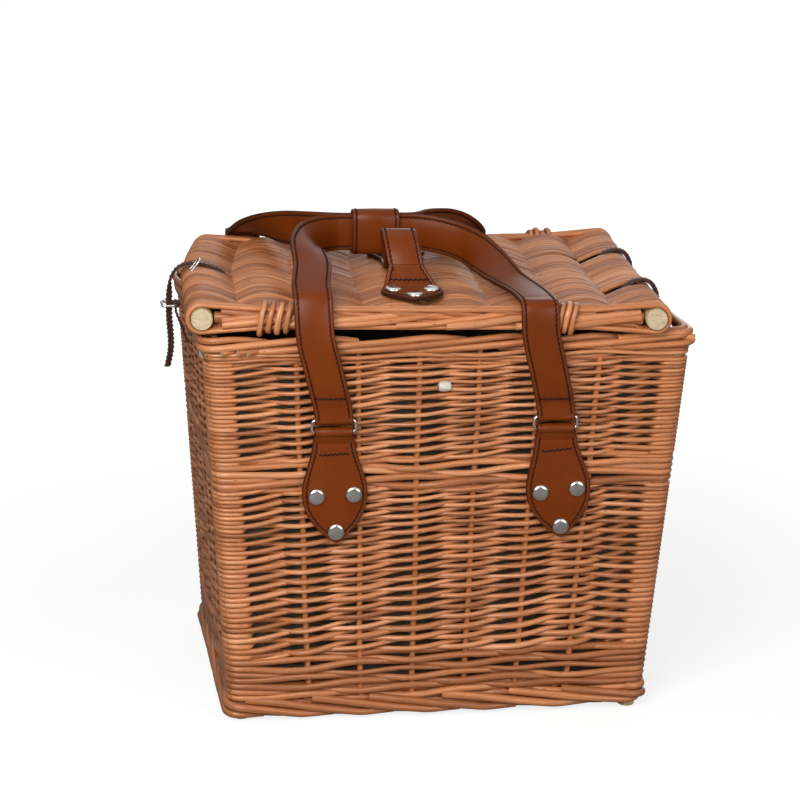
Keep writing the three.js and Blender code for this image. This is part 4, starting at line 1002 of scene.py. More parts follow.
def lid_row(y):
    """One rod of the lid: over and under the stakes, round the left dowel and back again."""
    places = np.concatenate([[LID_LEFT_X], lid_stake(np.arange(1, LID_STAKES + 1)), [HINGE_X]])
    wrap = DOWEL_RADIUS + LID_ROD
    waves = np.where(np.arange(LID_STAKES) % 2 == 0, LID_LOW, LID_HIGH)
    there = np.concatenate([[wrap], waves, [-wrap]])
    back = np.concatenate([[-wrap], LID_HIGH + LID_LOW - waves, [wrap]])
    x = np.linspace(LID_LEFT_X, HINGE_X, 112)
    way = np.concatenate([
        arc(HINGE_X, wrap, 0, -math.pi / 2, 6)[:-1],
        np.stack([x, sampled(places, there, x, eased)], -1)[::-1],
        arc(LID_LEFT_X, wrap, math.pi / 2, 1.5 * math.pi, 11)[1:-1],
        np.stack([x, sampled(places, back, x, eased)], -1),
        arc(HINGE_X, wrap, math.pi / 2, 0, 6)[1:],
    ])
    run = run_of(way)
    row_x, row_z = way.T
    return xyz(row_x, parted(row_x, y + LID_ROW_PITCH * (run / run[-1]), row_z), LID_Z + row_z)


def add_lid_weave():
    skin = Skin(seed=71)
    half = LID_DEPTH / 2 - LID_BORDER_DEPTH + 2
    for k in range(round(2 * half / LID_ROW_PITCH)):
        path = lid_row(-half + k * LID_ROW_PITCH)
        phase = skin.rng.uniform(0, 6, 3)
        path[:, 1] += wave(path[:, 0], *LID_STRAY, phase[0])
        path[:, 2] += wave(path[:, 0], *LID_LIFT, phase[1])
        size = LID_ROD * skin.rng.uniform(*LID_ROD_SIZES)
        tint = np.clip(skin.rng.normal(*LID_TINT) + wave(path[:, 0], *LID_TINT_WAVE, phase[2]), 0, 1)
        skin.rod(path, size, sides=10, up=ALONG_Y, tint=tint, oval=LID_ROD_OVAL, caps=False)
    y = np.linspace(-LID_DEPTH / 2 + 5, LID_DEPTH / 2 - 5, 40)
    for i in range(1, LID_STAKES + 1):
        skin.rod(xyz(lid_stake(i), y, LID_Z + LID_MIDDLE_Z), LID_STAKE_RADIUS, tint=LID_STAKE_TINT)
    piece("lid_weave", skin, "willow", "lid", ["lid_panel"], place=in_lid)


def add_dowels():
    """The lid's two round rods, their ends bevelled in two steps."""
    from_end = np.array([0, 0.5, 1.2, 8, 60])
    y = np.concatenate([from_end - LID_DEPTH / 2, [0], LID_DEPTH / 2 - from_end[::-1]])
    size = np.full(len(y), DOWEL_RADIUS - DOWEL_FIT)
    size[[0, -1]] -= DOWEL_BEVELS[0]
    size[[1, -2]] -= DOWEL_BEVELS[1]
    for side, x in (("left", LID_LEFT_X), ("right", HINGE_X)):
        skin = Skin(seed=73)
        skin.rod(xyz(x, y, LID_Z), size, sides=40)
        piece(f"lid_dowel_{side}", skin, "pale_wood", "lid", [f"lid_rod_{side}"], place=in_lid)


def lid_border_points(sign, x, y, z):
    """Points of a lid border: y inward from the lid's edge, at the front or the back."""
    return xyz(x, sign * (LID_DEPTH / 2 - y), LID_Z + z)


def border_rod(sign, start, t, y, z):
    """A slanting rod of a lid border, cut off short of the dowels."""
    x = start + LID_BORDER_LENGTH * t
    kept = (x > LID_BORDER_LEFT) & (x < LID_BORDER_RIGHT)
    return lid_border_points(sign, x, smoothed(y, 6), smoothed(z, 6))[kept]


def rail_points():
    """A rod round both dowel ends in X and Z, drawn in along the lid's edge between them."""
    wrap = DOWEL_RADIUS + 2.0
    t = np.linspace(0, 1, 60)[1:-1]
    height = wrap * (1 - RAIL_DRAWN * np.minimum(1, np.minimum(t, 1 - t) * 7))
    return np.concatenate([
        np.stack([LID_LEFT_X + t * LID_SPAN, height], -1),
        arc(HINGE_X, wrap, math.pi / 2, -math.pi / 2, 14),
        np.stack([HINGE_X - t * LID_SPAN, -height], -1),
        arc(LID_LEFT_X, wrap, 1.5 * math.pi, math.pi / 2, 14),
    ])


def rods_in_front(skin, sign):
    """The rods of a lid border that show, uneven in their places, sizes and tints."""
    t = np.linspace(0, 1, 40)
    for k in range(-1, LID_BORDER_RODS):
        start = LID_LEFT_X + FRONT_START + k * (LID_SPAN - FRONT_SPARE) / LID_BORDER_RODS
        start += skin.rng.uniform(-FRONT_JITTER, FRONT_JITTER)
        y = np.interp(t, LID_BORDER_STOPS, LID_BORDER_SINK) + 0.3 * np.sin(9 * t + k)
        z = np.interp(t, LID_BORDER_STOPS, LID_BORDER_RISE) + 0.5 * np.sin(6 * t + k)
        path = border_rod(sign, start, t, y, z)
        if len(path) > 5:
            tint = skin.rng.uniform(*FRONT_TINTS)
            skin.rod(path, LID_BORDER_SIZE * skin.rng.uniform(*FRONT_SIZES), sides=10, tint=tint)


def rods_behind(skin, sign):
    """The rods of a lid border that cross behind the others, tinted darker as painted shade."""
    t = np.linspace(0, 1, 40)
    y = np.interp(t, LID_BORDER_STOPS, LID_BORDER_BEHIND)
    z = np.interp(t, LID_BORDER_STOPS, LID_BORDER_FALL)
    for k in range(LID_BORDER_RODS):
        start = LID_LEFT_X + BEHIND_START + k * (LID_SPAN - BEHIND_SPARE) / LID_BORDER_RODS
        path = border_rod(sign, start, t, y, z)
        skin.rod(path, LID_BORDER_SIZE, sides=10, tint=skin.rng.uniform(*BEHIND_PAINTED_SHADE_TINTS))


def add_lid_borders():
    """Slanting rods with their cut ends to the left, between two long rails, over a core tinted dark as
    painted shade.
    """
    rail_x, rail_z = rail_points().T
    core_x = np.linspace(LID_LEFT_X + 9, HINGE_X - 9, 30)
    for row, sign in ROW_SIGNS.items():
        skin = Skin(seed=75 + sign)
        rods_in_front(skin, sign)
        rods_behind(skin, sign)
        core = lid_border_points(sign, core_x, LID_CORE_DEPTH, 0.0)
        skin.rod(core, LID_CORE_RADIUS, tint=LID_CORE_PAINTED_SHADE)
        for y, size in LID_RAILS:
            path = lid_border_points(sign, rail_x, y, rail_z)
            skin.rod(path, size, sides=10, up=ALONG_Y, tint=skin.rng.uniform(*RAIL_TINTS), loop=True)
        piece(f"lid_border_rods_{row}", skin, "willow", "lid", [f"lid_border_{row}"], place=in_lid)


def squared(turn, depth, height, powers):
    """A turn round an oval whose sides are flattened by powers below one."""
    c, s = np.cos(turn), np.sin(turn)
    return depth * np.sign(c) * np.abs(c) ** powers[0], height * np.sign(s) * np.abs(s) ** powers[1]


def add_bindings():
    """Thin willow wound round the lid's borders in slanting turns."""
    turn = np.linspace(0, BINDING_TURNS * math.tau, BINDING_TURNS * 40)
    for k, ((row, side), (middle, spread)) in enumerate(BINDINGS.items()):
        skin = Skin(seed=80 + k)
        loose = 1 + 0.09 * np.sin(turn / 2 + k) + 0.06 * np.sin(turn / 3)
        y, z = squared(turn, BINDING_SIZE[0] * loose, BINDING_SIZE[1] * loose, (0.8, 0.8))
        x = middle + spread * (turn / turn[-1] - 0.5) + BINDING_SLANT * np.sin(turn + 0.5)
        path = lid_border_points(ROW_SIGNS[row], x, LID_BORDER_DEPTH / 2 + y, z)
        size = BINDING_ROD + 0.22 * np.sin(turn * 1.3 + k)
        tint = BINDING_TINT + 0.18 * np.sin(turn / 2 + k)
        skin.rod(path, size, sides=10, up=ALONG_X, tint=tint, oval=BINDING_OVAL)
        piece(f"binding_{row}_{side}", skin, "willow", "lid", [f"lid_binding_{row}_{side}"], place=in_lid)


# Leather: straps, sewing, tabs, lid handle and laces

# Straps, laces and seams: where a seam lies, how deep its groove is, and its thread
STRAP_WIDTH, STRAP_THICKNESS, LEATHER = 28, 3.2, 2
LACE_WIDTH, LACE_THICKNESS = 6, 2.5
STITCH_PITCH, STITCH_INSET, CROSS_SEAM, GROOVE = 3.6, 3.0, 17, 0.4
THREAD, THREAD_SIDES = 0.55, 6

# Stitches along an edge and across a strap: sway, height, dip and radius
EDGE_STITCH, CROSS_STITCH = (0.45, 0.2, 0.4, THREAD), (0.6, 0.1, 0.22, 1.15 * THREAD)

# Wire rings on the tabs, and the rolled leather eyes round them
WIRE_RADIUS, RING_HEIGHT, RING_SIDE_GAP, RING_CORNER = 1.25, 9, 0.8, 3
RING_Z = WALL_TOP - 59
EYE_FIT, EYE_LEATHER = 0.4, 1.6
EYE_RADIUS = WIRE_RADIUS + EYE_FIT + LEATHER

# Grip wrap, and the straps that pass through it over the lid
WRAP_X, WRAP_Y, WRAP_LENGTH, WRAP_THICKNESS, WRAP_SLACK = -37, 12, 36, 2.5, 0.8
STRAP_HOVER, STRAP_EASE, STRAP_CLEAR = 13, 10, 3 + 2 * GAP
WRAP_Z = LID_TOP + STRAP_HOVER + STRAP_WIDTH / 2
WRAP_REACH = WRAP_LENGTH / 2 + 2
STRAP_OFFSET = STRAP_THICKNESS / 2 + GAP / 2

# Ways a strap's width can point
LEVEL, LEVEL_BACK, ON_EDGE, DEPTHWAYS = (1, 0, 0), (-1, 0, 0), (0, 0, -1), (0, 1, 0)

# A leg up the wall: shares of its lean, its way out and its way up, then how far it is in over the lid's
# edge and its share of the lift there
LEG_WAY = ((0.25, 0.5, 0.33), (0.58, 0.8, 0.67), (0.9, 1, 1))
EDGE_WAY = ((3, 0.6), (14, 1))
LEG_START_LEAN, LEG_START_OUT = 0.08, 0.3

# The places of each strap's tabs, then for its left and right legs their lean and lift and their ways over
# the lid: shares of the way to the wrap in X, Y and Z, and where the width points
STRAPS = {
    "front": (
        (95 - RIM_WIDTH / 2, RIM_WIDTH / 2 - 101),
        ((-17, 13), (
            (-0.24, 0.34, 0.8, LEVEL), (-0.22, 0.59, 1.05, (1, 0, -0.4)),
            (-0.02, 0.84, 1.04, (0.5, 0, -0.9)),
        )),
        ((-17, 4), (
            (0.17, 0.22, 0.2, LEVEL_BACK), (0.25, 0.46, 0.3, (-1, 0, -0.1)),
            (0.32, 0.7, 0.52, (-0.7, -0.35, -0.6)), (0.42, 0.86, 0.76, (-0.1, -0.1, -1)),
            (0.58, 0.945, 0.93, ON_EDGE),
        )),
    ),
    "back": (
        (70 - RIM_WIDTH / 2, RIM_WIDTH / 2 - 126),
        ((-15, 4), ((-0.1, 0.33, 0.5, (0.8, 0, -0.5)), (0.18, 0.65, 0.78, (0.2, 0, -1)))),
        ((2, 4), (
            (0.1, 0.28, 0.45, (-0.8, 0, -0.5)), (0.3, 0.55, 0.76, (-0.2, 0, -1)),
            (0.52, 0.81, 0.95, ON_EDGE),
        )),
    ),
}

# Teardrop tabs, the tilts of the two in front, and rivets: places across and down from the ring
TAB_WIDTH, TAB_DROP, TAB_SHOULDER, TAB_CHEEK, TAB_THICKNESS, TAB_TOP = 48, 86, 5, 48, 4, -4
TAB_NECK = STRAP_WIDTH + 2.5
TAB_TILTS = {"front_left": math.radians(2.5), "front_right": math.radians(5.5)}
TAB_ROLL_START = -9.0
RIVET_RADIUS, RIVET_HEIGHT, RIVET_SPREAD = 6.3, 2.4, 27.5
RIVET_PROFILE = (
    (5.7, -0.3), (RIVET_RADIUS, 0), (6.25, 0.7), (5.9, 1.35), (5.2, 1.9), (4.2, 2.2), (3, 2.32),
    (1.5, RIVET_HEIGHT), (0.2, RIVET_HEIGHT),
)
TAB_RIVETS = {
    "left": (-RIVET_SPREAD / 2, -48.5), "right": (RIVET_SPREAD / 2, -48.5), "tip": (0, -76.5),
}

# Lid handle: its way from front to back as places in Y and heights over the lid, its ends and their rivets
HANDLE_X, HANDLE_WIDTH, HANDLE_LEAN, HANDLE_LAP = -19, 26, -0.2, 12
HANDLE_END_LENGTH, HANDLE_END_WIDTH, HANDLE_SHOULDER, HANDLE_CHEEK = 50, 46, 1, 25
HANDLE_END_THICKNESS = STRAP_THICKNESS + 0.4
HANDLE_SEAM = -12.0
HANDLE_STOPS = (
    (-115, 0), (-101, 0), (-89, 0.4), (-83.5, 3.5), (-79.5, 11), (-75.5, 20.5), (-71, 29.5), (-65, 36.5),
    (-57, 39), (-49, 36), (-41, 26), (-32, 15), (-20, 6), (-6, 2), (8, 0.6), (22, 0), (50, 0), (72, 0),
)
HANDLE_RIVETS = {"left": (-RIVET_SPREAD / 2, -24), "right": (RIVET_SPREAD / 2, -24), "tip": (0, -41)}


def strap_section(width, thickness):
    """Section of a sewn strap: rounded edges, a groove under each seam, two layers at the edge."""
    w, t = width / 2, thickness / 2
    seam = w - STITCH_INSET
    quarter = [
        (0, t, 0), (seam - 1.1, t, 0), (seam, t - GROOVE, 0.25), (seam + 1.0, t, 0), (w - 1.0, t, 0.1),
        (w - 0.3, t - 0.35, 0.7), (w, t - 0.95, 1), (w - 0.25, 0, 1),
    ]
    right = quarter + [(a, -b, e) for a, b, e in quarter[-2::-1]]
    return right + [(-a, b, e) for a, b, e in right[-2:0:-1]]


def smooth_way(stops, per_span=14):
    """A centripetal curve through the stops, with the width's direction along it."""
    at, across = (np.array(rows, float) for rows in zip(*stops))
    ends = np.concatenate([[2 * at[0] - at[1]], at, [2 * at[-1] - at[-2]]])
    gaps = np.maximum(1e-4, np.linalg.norm(np.diff(ends, axis=0), axis=1) ** 0.5)
    points, ways = [], []
    for k in range(len(at) - 1):
        p0, p1, p2, p3 = ends[k:k + 4]
        d0, d1, d2 = gaps[k:k + 3]
        m1 = ((p1 - p0) / d0 - (p2 - p0) / (d0 + d1) + (p2 - p1) / d1) * d1
        m2 = ((p2 - p1) / d1 - (p3 - p1) / (d1 + d2) + (p3 - p2) / d2) * d1
        square, cube = 3 * (p2 - p1) - 2 * m1 - m2, 2 * (p1 - p2) + m1 + m2
        t = np.arange(per_span + (k == len(at) - 2))[:, None] / per_span
        points.append(p1 + m1 * t + square * t ** 2 + cube * t ** 3)
        ways.append(across[k] * (1 - t) + across[k + 1] * t)
    return np.concatenate(points), np.concatenate(ways)


def stitch_beat(line):
    """How far the stitches have turned at each point of a line."""
    return run_of(line) * math.tau / STITCH_PITCH


def same(value):
    return value


def sew(skin, line, side, out, beat, stitch, flipped, place=same):
    """Thread along a line: it sways to the side and dips at each needle hole."""
    sway, height, dip, radius = stitch
    line = line + side * (sway * np.sin(beat))[:, None] + out * (height + dip * np.cos(beat))[:, None]
    rings = place(rings_round(line, radius, side, out, THREAD_SIDES))
    skin.tube(rings[:, ::-1] if flipped else rings, run_of(line))


def sew_along(skin, path, across, width):
    """Seams along both edges of a strap, on its outer and its inner face."""
    _, side, out = strip_axes(path, across)
    for face in (1, -1):
        for edge in (-1, 1):
            offset = side * (edge * (width / 2 - STITCH_INSET))
            line = path + offset + out * face * (STRAP_THICKNESS / 2 - GROOVE)
            line, line_side, line_out = respaced(line, STITCH_PITCH / 4, side, out * face)
            beat = stitch_beat(line)
            sew(skin, line, unit(line_side), unit(line_out), beat, EDGE_STITCH, flipped=face > 0)


def sew_across(skin, line, side, out):
    """A short straight seam on a flat face."""
    line = respaced(line, STITCH_PITCH / 4)[0]
    side, out = unit(side), unit(out)
    flipped = np.dot(np.cross(side, out), line[-1] - line[0]) <= 0
    sew(skin, line, side, out, stitch_beat(line), CROSS_STITCH, flipped)


def sew_outline(skin, outline, thickness, place):
    """Thread along the seam of a plate, on its face."""
    line = respaced(inset(outline, STITCH_INSET), STITCH_PITCH / 4)[0]
    along = unit(np.gradient(line, axis=0))
    side = xyz(-along[:, 1], along[:, 0], 0.0)
    beat = np.arange(len(line)) * math.pi / 2
    sew(skin, xyz(*line.T, thickness - GROOVE), side, UP, beat, EDGE_STITCH, flipped=True, place=place)


def on_wall(sign, x, tilt=0.0):
    """A placing of points given across, up and out of the wall from a ring's lower wire."""
    c, s = math.cos(WALL_LEAN), math.sin(WALL_LEAN)
    tilt_c, tilt_s = math.cos(tilt), math.sin(tilt)

    def place(points):
        a, b, out = np.moveaxis(points, -1, 0)
        across = a * tilt_c - b * tilt_s
        up = a * tilt_s + b * tilt_c
        y = -out - GAP
        moved_y = y * c - up * s - half_depth(RING_Z)
        return xyz(x - sign * across, -sign * moved_y, y * s + up * c + RING_Z)

    return place


def ring_top(x):
    """The middle of the ring's upper wire at a front tab."""
    return on_wall(ROW_SIGNS["front"], x)(np.array((0.0, RING_HEIGHT, EYE_RADIUS))).tolist()


def flatten(thing):
    """Gives a strap, the wrap or their stitches a mesh of its own."""
    x, y, z = ring_top(0)
    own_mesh(thing)


def lid_edge(x, sign):
    """Y of the lid's edge at an X, the lid lying askew."""
    along = x - LID_MIDDLE_X + sign * LID_DEPTH / 2 * math.sin(LID_SKEW)
    return along * math.tan(LID_SKEW) + sign * LID_DEPTH / 2 * math.cos(LID_SKEW)


def leg_stops(sign, from_x, leg, across):
    """Stops of a strap up the wall and over the lid's edge."""
    lean, lift = leg
    x, y, z = ring_top(from_x)
    y *= -sign
    edge = lid_edge(from_x + lean, sign) + sign * (STRAP_THICKNESS / 2 + STRAP_CLEAR)
    rim = half_depth(RIM_TOP) + RIM_OUTSET + STRAP_THICKNESS / 2 + STRAP_CLEAR
    out = sign * max(abs(edge), rim)
    flush = y + sign * (WIRE_RADIUS + EYE_FIT + EYE_LEATHER - STRAP_THICKNESS / 2)
    start = (x + lean * LEG_START_LEAN, flush + sign * LEG_START_OUT, z + STRAP_EASE)
    stops = [((x, flush, z), across), (start, across)]
    for aside, outward, up in LEG_WAY:
        stops.append(((x + lean * aside, y + (out - y) * outward, z + (RIM_TOP - z) * up), across))
    for inward, share in EDGE_WAY:
        stops.append(((x + lean, edge - sign * inward, LID_TOP + lift * share), across))
    return stops


def lid_stops(sign, leg_x, way):
    """Stops of a strap from the lid's edge towards the grip wrap."""
    edge = lid_edge(leg_x, sign)
    stops = []
    for aside, inward, up, across in way:
        x, y = leg_x + (WRAP_X - leg_x) * aside, edge + (WRAP_Y - edge) * inward
        stops.append(((x, y, LID_TOP + (WRAP_Z - LID_TOP) * up), across))
    return stops


def strap_stops(row):
    """Stops of a strap from its left ring through the grip wrap to its right ring."""
    sign = ROW_SIGNS[row]
    (left_x, right_x), (left_leg, left_way), (right_leg, right_way) = STRAPS[row]
    y = WRAP_Y + sign * STRAP_OFFSET
    far = WRAP_REACH + STRAP_EASE
    run = [(-far, sign), (-WRAP_REACH, 0), (0, 0), (WRAP_REACH, 0), (far, sign)]
    return [
        *leg_stops(sign, left_x, left_leg, LEVEL),
        *lid_stops(sign, left_x, left_way),
        *[((WRAP_X + x, y + more, WRAP_Z), ON_EDGE) for x, more in run],
        *lid_stops(sign, right_x, right_way)[::-1],
        *leg_stops(sign, right_x, right_leg, LEVEL_BACK)[::-1],
    ]


def strap_eyes(row):
    """Leather rolled round the rings' upper wires."""
    eyes = Skin(seed=93)
    turn = np.linspace(0, math.tau, 28)
    reach = WIRE_RADIUS + EYE_FIT + EYE_LEATHER / 2
    for tab_x in STRAPS[row][0]:
        x, y, z = ring_top(tab_x)
        ring = xyz(x, -ROW_SIGNS[row] * y + reach * np.cos(turn), z + reach * np.sin(turn))
        eyes.band(ring, ALONG_X, strap_section(STRAP_WIDTH, EYE_LEATHER))
    return eyes


def cross_seams(sewing, path, across):
    """Seams straight across a strap, a little way from each end, on both faces."""
    run = run_of(path)
    along = unit(np.gradient(path, axis=0))
    reach = STRAP_WIDTH / 2 - STITCH_INSET
    for at in (CROSS_SEAM, run[-1] - CROSS_SEAM):
        k = int(np.searchsorted(run, at))
        side = unit(across[k])
        out = np.cross(side, along[k])
        line = path[k] + np.linspace(-reach, reach, 60)[:, None] * side
        for face in (1, -1):
            sew_across(sewing, line + out * face * (STRAP_THICKNESS / 2), along[k], out * face)


def add_straps():
    for row, sign in ROW_SIGNS.items():
        path, across = smooth_way(strap_stops(row))
        path, across = respaced(path, 2.0, across)
        skin, sewing = Skin(seed=90 + sign), Skin(seed=92)
        skin.band(path, across, strap_section(STRAP_WIDTH, STRAP_THICKNESS))
        sew_along(sewing, path[1:-1], across[1:-1], STRAP_WIDTH)
        cross_seams(sewing, path, across)
        body = f"{row}_handle"
        piece(f"strap_eyes_{row}", strap_eyes(row), "tan_leather", body)
        strap = piece(f"strap_{row}", skin, "tan_leather", body, [f"carry_strap_{row}"])
        stitches = piece(f"strap_stitches_{row}", sewing, "thread", body)
        for soft in (strap, stitches):
            flatten(soft)


def wrap_ring(count, x, grow):
    """A ring of the grip wrap round both straps, at a place along it."""
    depth = STRAP_THICKNESS + STRAP_OFFSET + WRAP_SLACK + grow
    height = STRAP_WIDTH / 2 + WRAP_SLACK + grow
    y, z = squared(turns(count), depth, height, (0.75, 0.45))
    return xyz(WRAP_X + x, WRAP_Y + y, WRAP_Z + z)


def add_grip_wrap():
    """The wrap from its left edge to its right one, each layer with its place, thickness and edge share."""
    count = 64
    half, full, seam = WRAP_LENGTH / 2, WRAP_THICKNESS, WRAP_LENGTH / 2 - STITCH_INSET
    left = [
        (-half + 0.4, 0.2, 1), (-half + 0.1, 0.9, 1), (-half, 1.5, 1), (-half + 0.4, full - 0.2, 0.7),
        (-half + 1.2, full, 0.1), (-seam - 0.9, full, 0), (-seam, full - GROOVE, 0.2),
        (-seam + 0.9, full, 0),
    ]
    right = [(-x, grow, edge) for x, grow, edge in left[::-1]]
    layers = [*left, (0, full + 0.2, 0), *right, (half - 1, 0.0, 0), (1 - half, 0.0, 0)]
    points = np.concatenate([wrap_ring(count, x, grow) for x, grow, _ in layers])
    edges = np.repeat([edge for _, _, edge in layers], count)
    skin, sewing = Skin(seed=95), Skin(seed=96)
    skin.add(points, [grid(len(layers), count, loop=True)], points / GRAIN_RUN, edge=edges)
    wrap = piece("grip_wrap_leather", skin, "tan_leather", "front_handle", ["grip_wrap"])
    for x in (-seam, seam):
        line = wrap_ring(120, x, WRAP_THICKNESS - 0.1)
        line = respaced(np.concatenate([line, line[:1]]), STITCH_PITCH / 4)[0][:-1]
        line[:, 0] += 0.3 * np.sin(np.arange(len(line)) * math.pi / 2)
        sewing.rod(line, THREAD, sides=THREAD_SIDES, up=ALONG_X, loop=True)
    stitches = piece("wrap_stitches", sewing, "thread", "front_handle")
    for soft in (wrap, stitches):
        flatten(soft)


def inset(outline, amount):
    """A closed outline, taken counter-clockwise, moved inward by an amount."""
    before, after = np.roll(outline, 1, 0), np.roll(outline, -1, 0)
    first, second = unit(outline - before), unit(after - outline)
    normal_first = np.stack([-first[:, 1], first[:, 0]], -1)
    normal_second = np.stack([-second[:, 1], second[:, 0]], -1)
    middle = unit(normal_first + normal_second)
    grow = 1 / np.maximum(np.sum(middle * normal_first, -1), 0.6)
    return outline + middle * (amount * grow)[:, None]


def curve(start, control, end, steps=10):
    """A bent line from a start it leaves out, towards a control point, to an end."""
    t = np.arange(1, steps + 1)[:, None] / steps
    start, control, end = (np.array(p, float) for p in (start, control, end))
    return start * (1 - t) ** 2 + 2 * control * t * (1 - t) + end * t ** 2


def teardrop(neck, width, shoulder, cheek, drop, top=0.0, flare=eased):
    """Outline of a leather end, counter-clockwise from the left of its neck."""
    t = np.linspace(0, 1, 14)
    half = np.concatenate([
        np.array([(-neck / 2, top)], float),
        np.stack([-neck / 2 - (width - neck) / 2 * flare(t), -shoulder - (cheek - shoulder) * t], -1),
        curve((-width / 2, -cheek), (-width / 2, -(cheek + drop) / 2 - 2), (0, -drop)),
    ])
    return np.concatenate([half, (half * (-1, 1))[-2::-1]])


def plate_layers(thickness):
    """Insets, heights and edge shares of a sewn plate with rounded edges, from its back to its face."""
    t = thickness
    return [
        (0.8, 0, 1), (0, 0.5, 1), (0, t / 2 - 0.15, 1), (0.3, t / 2, 1), (0, t / 2 + 0.15, 1),
        (0, t - 0.8, 1), (0.3, t - 0.25, 0.7), (0.9, t, 0.1), (STITCH_INSET - 1, t, 0),
        (STITCH_INSET, t - GROOVE, 0.25), (STITCH_INSET + 1, t, 0),
    ]


def rivet(seed, across, up, seat, place):
    """A domed rivet cap on the face of a leather end."""
    head = Skin(seed)
    at = np.array((across, up, seat))
    head.lathe(RIVET_PROFILE, lambda points: place(points + at))
    return head


def tab_roll():
    """Leather from a tab's face up round the ring's lower wire and down behind, in the tab's own axes."""
    lead = np.linspace(0, 1, 6)[:, None]
    reach = EYE_RADIUS - LEATHER / 2
    turn = np.linspace(-0.3 * math.pi, math.pi, 24)
    roll = xyz(0.0, reach * np.sin(turn), EYE_RADIUS + reach * np.cos(turn))
    start = np.array((0.0, TAB_ROLL_START, TAB_THICKNESS - LEATHER / 2))
    end = np.array((0.0, TAB_ROLL_START, LEATHER / 2))
    up, down = start + (roll[0] - start) * lead[:-1], roll[-1] + (end - roll[-1]) * lead[1:]
    return np.concatenate([up, roll, down])


def add_tab(name, outline, place, level):
    """A tab at its tilt, its rolled eye level with the ring, and its stitches."""
    skin, sewing = Skin(seed=101), Skin(seed=102)
    skin.plate(outline, plate_layers(TAB_THICKNESS), place)
    skin.band(level(tab_roll()), ALONG_X, strap_section(STRAP_WIDTH, LEATHER))
    piece(f"tab_{name}", skin, "tan_leather", "basket", [f"carry_tab_{name}"])
    sew_outline(sewing, outline, TAB_THICKNESS, place)
    reach = STRAP_WIDTH / 2 - STITCH_INSET
    line = place(xyz(np.linspace(-reach, reach, 40), -CROSS_SEAM, TAB_THICKNESS))
    up, out = place(np.stack([ALONG_Y, UP])) - place(np.zeros((2, 3)))
    sew_across(sewing, line, up, out)
    piece(f"tab_stitches_{name}", sewing, "thread", "basket")


def add_ring(name, body, level):
    wire = Skin(seed=104)
    half_across = STRAP_WIDTH / 2 + RING_SIDE_GAP + WIRE_RADIUS
    ring = wire_loop(half_across, RING_HEIGHT / 2, RING_CORNER) + np.array((0, RING_HEIGHT / 2, EYE_RADIUS))
    wire.rod(level(ring), WIRE_RADIUS, sides=14, up=level(UP) - level(0 * UP), loop=True)
    piece(f"ring_{name}", wire, "nickel", body, [f"carry_ring_{name}"])


def add_tabs():
    outline = teardrop(TAB_NECK, TAB_WIDTH, TAB_SHOULDER, TAB_CHEEK, TAB_DROP, TAB_TOP)
    for row, sign in ROW_SIGNS.items():
        for side, x in zip(("left", "right"), STRAPS[row][0]):
            name = f"{row}_{side}"
            place, level = on_wall(sign, x, TAB_TILTS.get(name, 0.0)), on_wall(sign, x)
            add_tab(name, outline, place, level)
            for spot, (across, up) in TAB_RIVETS.items():
                head = rivet(103, across, up, TAB_THICKNESS + GAP, place)
                piece(f"rivet_{name}_{spot}", head, "nickel", "basket", [f"tab_rivet_{name}_{spot}"])
            add_ring(name, f"{row}_handle", level)


def handle_way():
    """The underside of the lid handle from its front tip to its back tip, and its outward side."""
    seat = LID_TOP + GAP
    stops = [((HANDLE_X + HANDLE_LEAN * up, y, seat + up), LEVEL) for y, up in HANDLE_STOPS]
    path = respaced(smooth_way(stops)[0], 1.0)[0]
    return path, run_of(path), np.cross(ALONG_X, unit(np.gradient(path, axis=0)))


def on_handle(path, run, out, sign):
    """A placing of points given across, along and out of the handle, from its front or its back end."""
    def place(points):
        at = HANDLE_END_LENGTH + points[..., 1]
        at = at if sign > 0 else run[-1] - at
        seat = taken_at(at, run, path) + taken_at(at, run, out) * points[..., 2:]
        return seat + xyz(sign * points[..., 0], 0.0, 0.0)

    return place


def add_lid_handle():
    path, run, out = handle_way()
    skin, sewing = Skin(seed=111), Skin(seed=112)
    ends = HANDLE_END_LENGTH - HANDLE_LAP
    strap = (path + out * STRAP_THICKNESS / 2)[(run > ends) & (run < run[-1] - ends)]
    skin.band(strap, ALONG_X, strap_section(HANDLE_WIDTH, STRAP_THICKNESS))
    sew_along(sewing, strap[8:-8], ALONG_X + 0 * strap[8:-8], HANDLE_WIDTH)
    outline = teardrop(
        HANDLE_WIDTH, HANDLE_END_WIDTH, HANDLE_SHOULDER, HANDLE_CHEEK, HANDLE_END_LENGTH, flare=same,
    )
    reach = HANDLE_WIDTH / 2 + 1
    line = xyz(np.linspace(-reach, reach, 40), HANDLE_SEAM, HANDLE_END_THICKNESS)
    for row, sign in (("front", 1), ("back", -1)):
        place = on_handle(path, run, out, sign)
        skin.plate(outline, plate_layers(HANDLE_END_THICKNESS), place)
        sew_outline(sewing, outline, HANDLE_END_THICKNESS, place)
        middle, up, over = place(HANDLE_SEAM * ALONG_Y + np.stack([0 * UP, ALONG_Y, UP]))
        sew_across(sewing, place(line), up - middle, over - middle)
        for spot, (across, along) in HANDLE_RIVETS.items():
            head = rivet(113, across, along, STRAP_THICKNESS + GAP, place)
            name = f"lid_rivet_{row}_{spot}"
            piece(f"{name}_cap", head, "nickel", "lid", [name], place=in_lid)
    piece("lid_handle_leather", skin, "tan_leather", "lid", ["lid_handle"], place=in_lid)
    piece("lid_handle_stitches", sewing, "thread", "lid", place=in_lid)


# Laces and closure

# Whipping along a lace's edges: its size as a share of the lace's thickness, its swell, sway and height
WHIP_PITCH, WHIP_SIDES, WHIP_SIZE, WHIP_SWELL, WHIP_SWAY, WHIP_HEIGHT = 3.3, 8, 0.34, 0.22, 0.35, 0.55
LACE_STEP, LACE_EDGE, WHIP_EDGE = 0.9, 0.3, 0.6

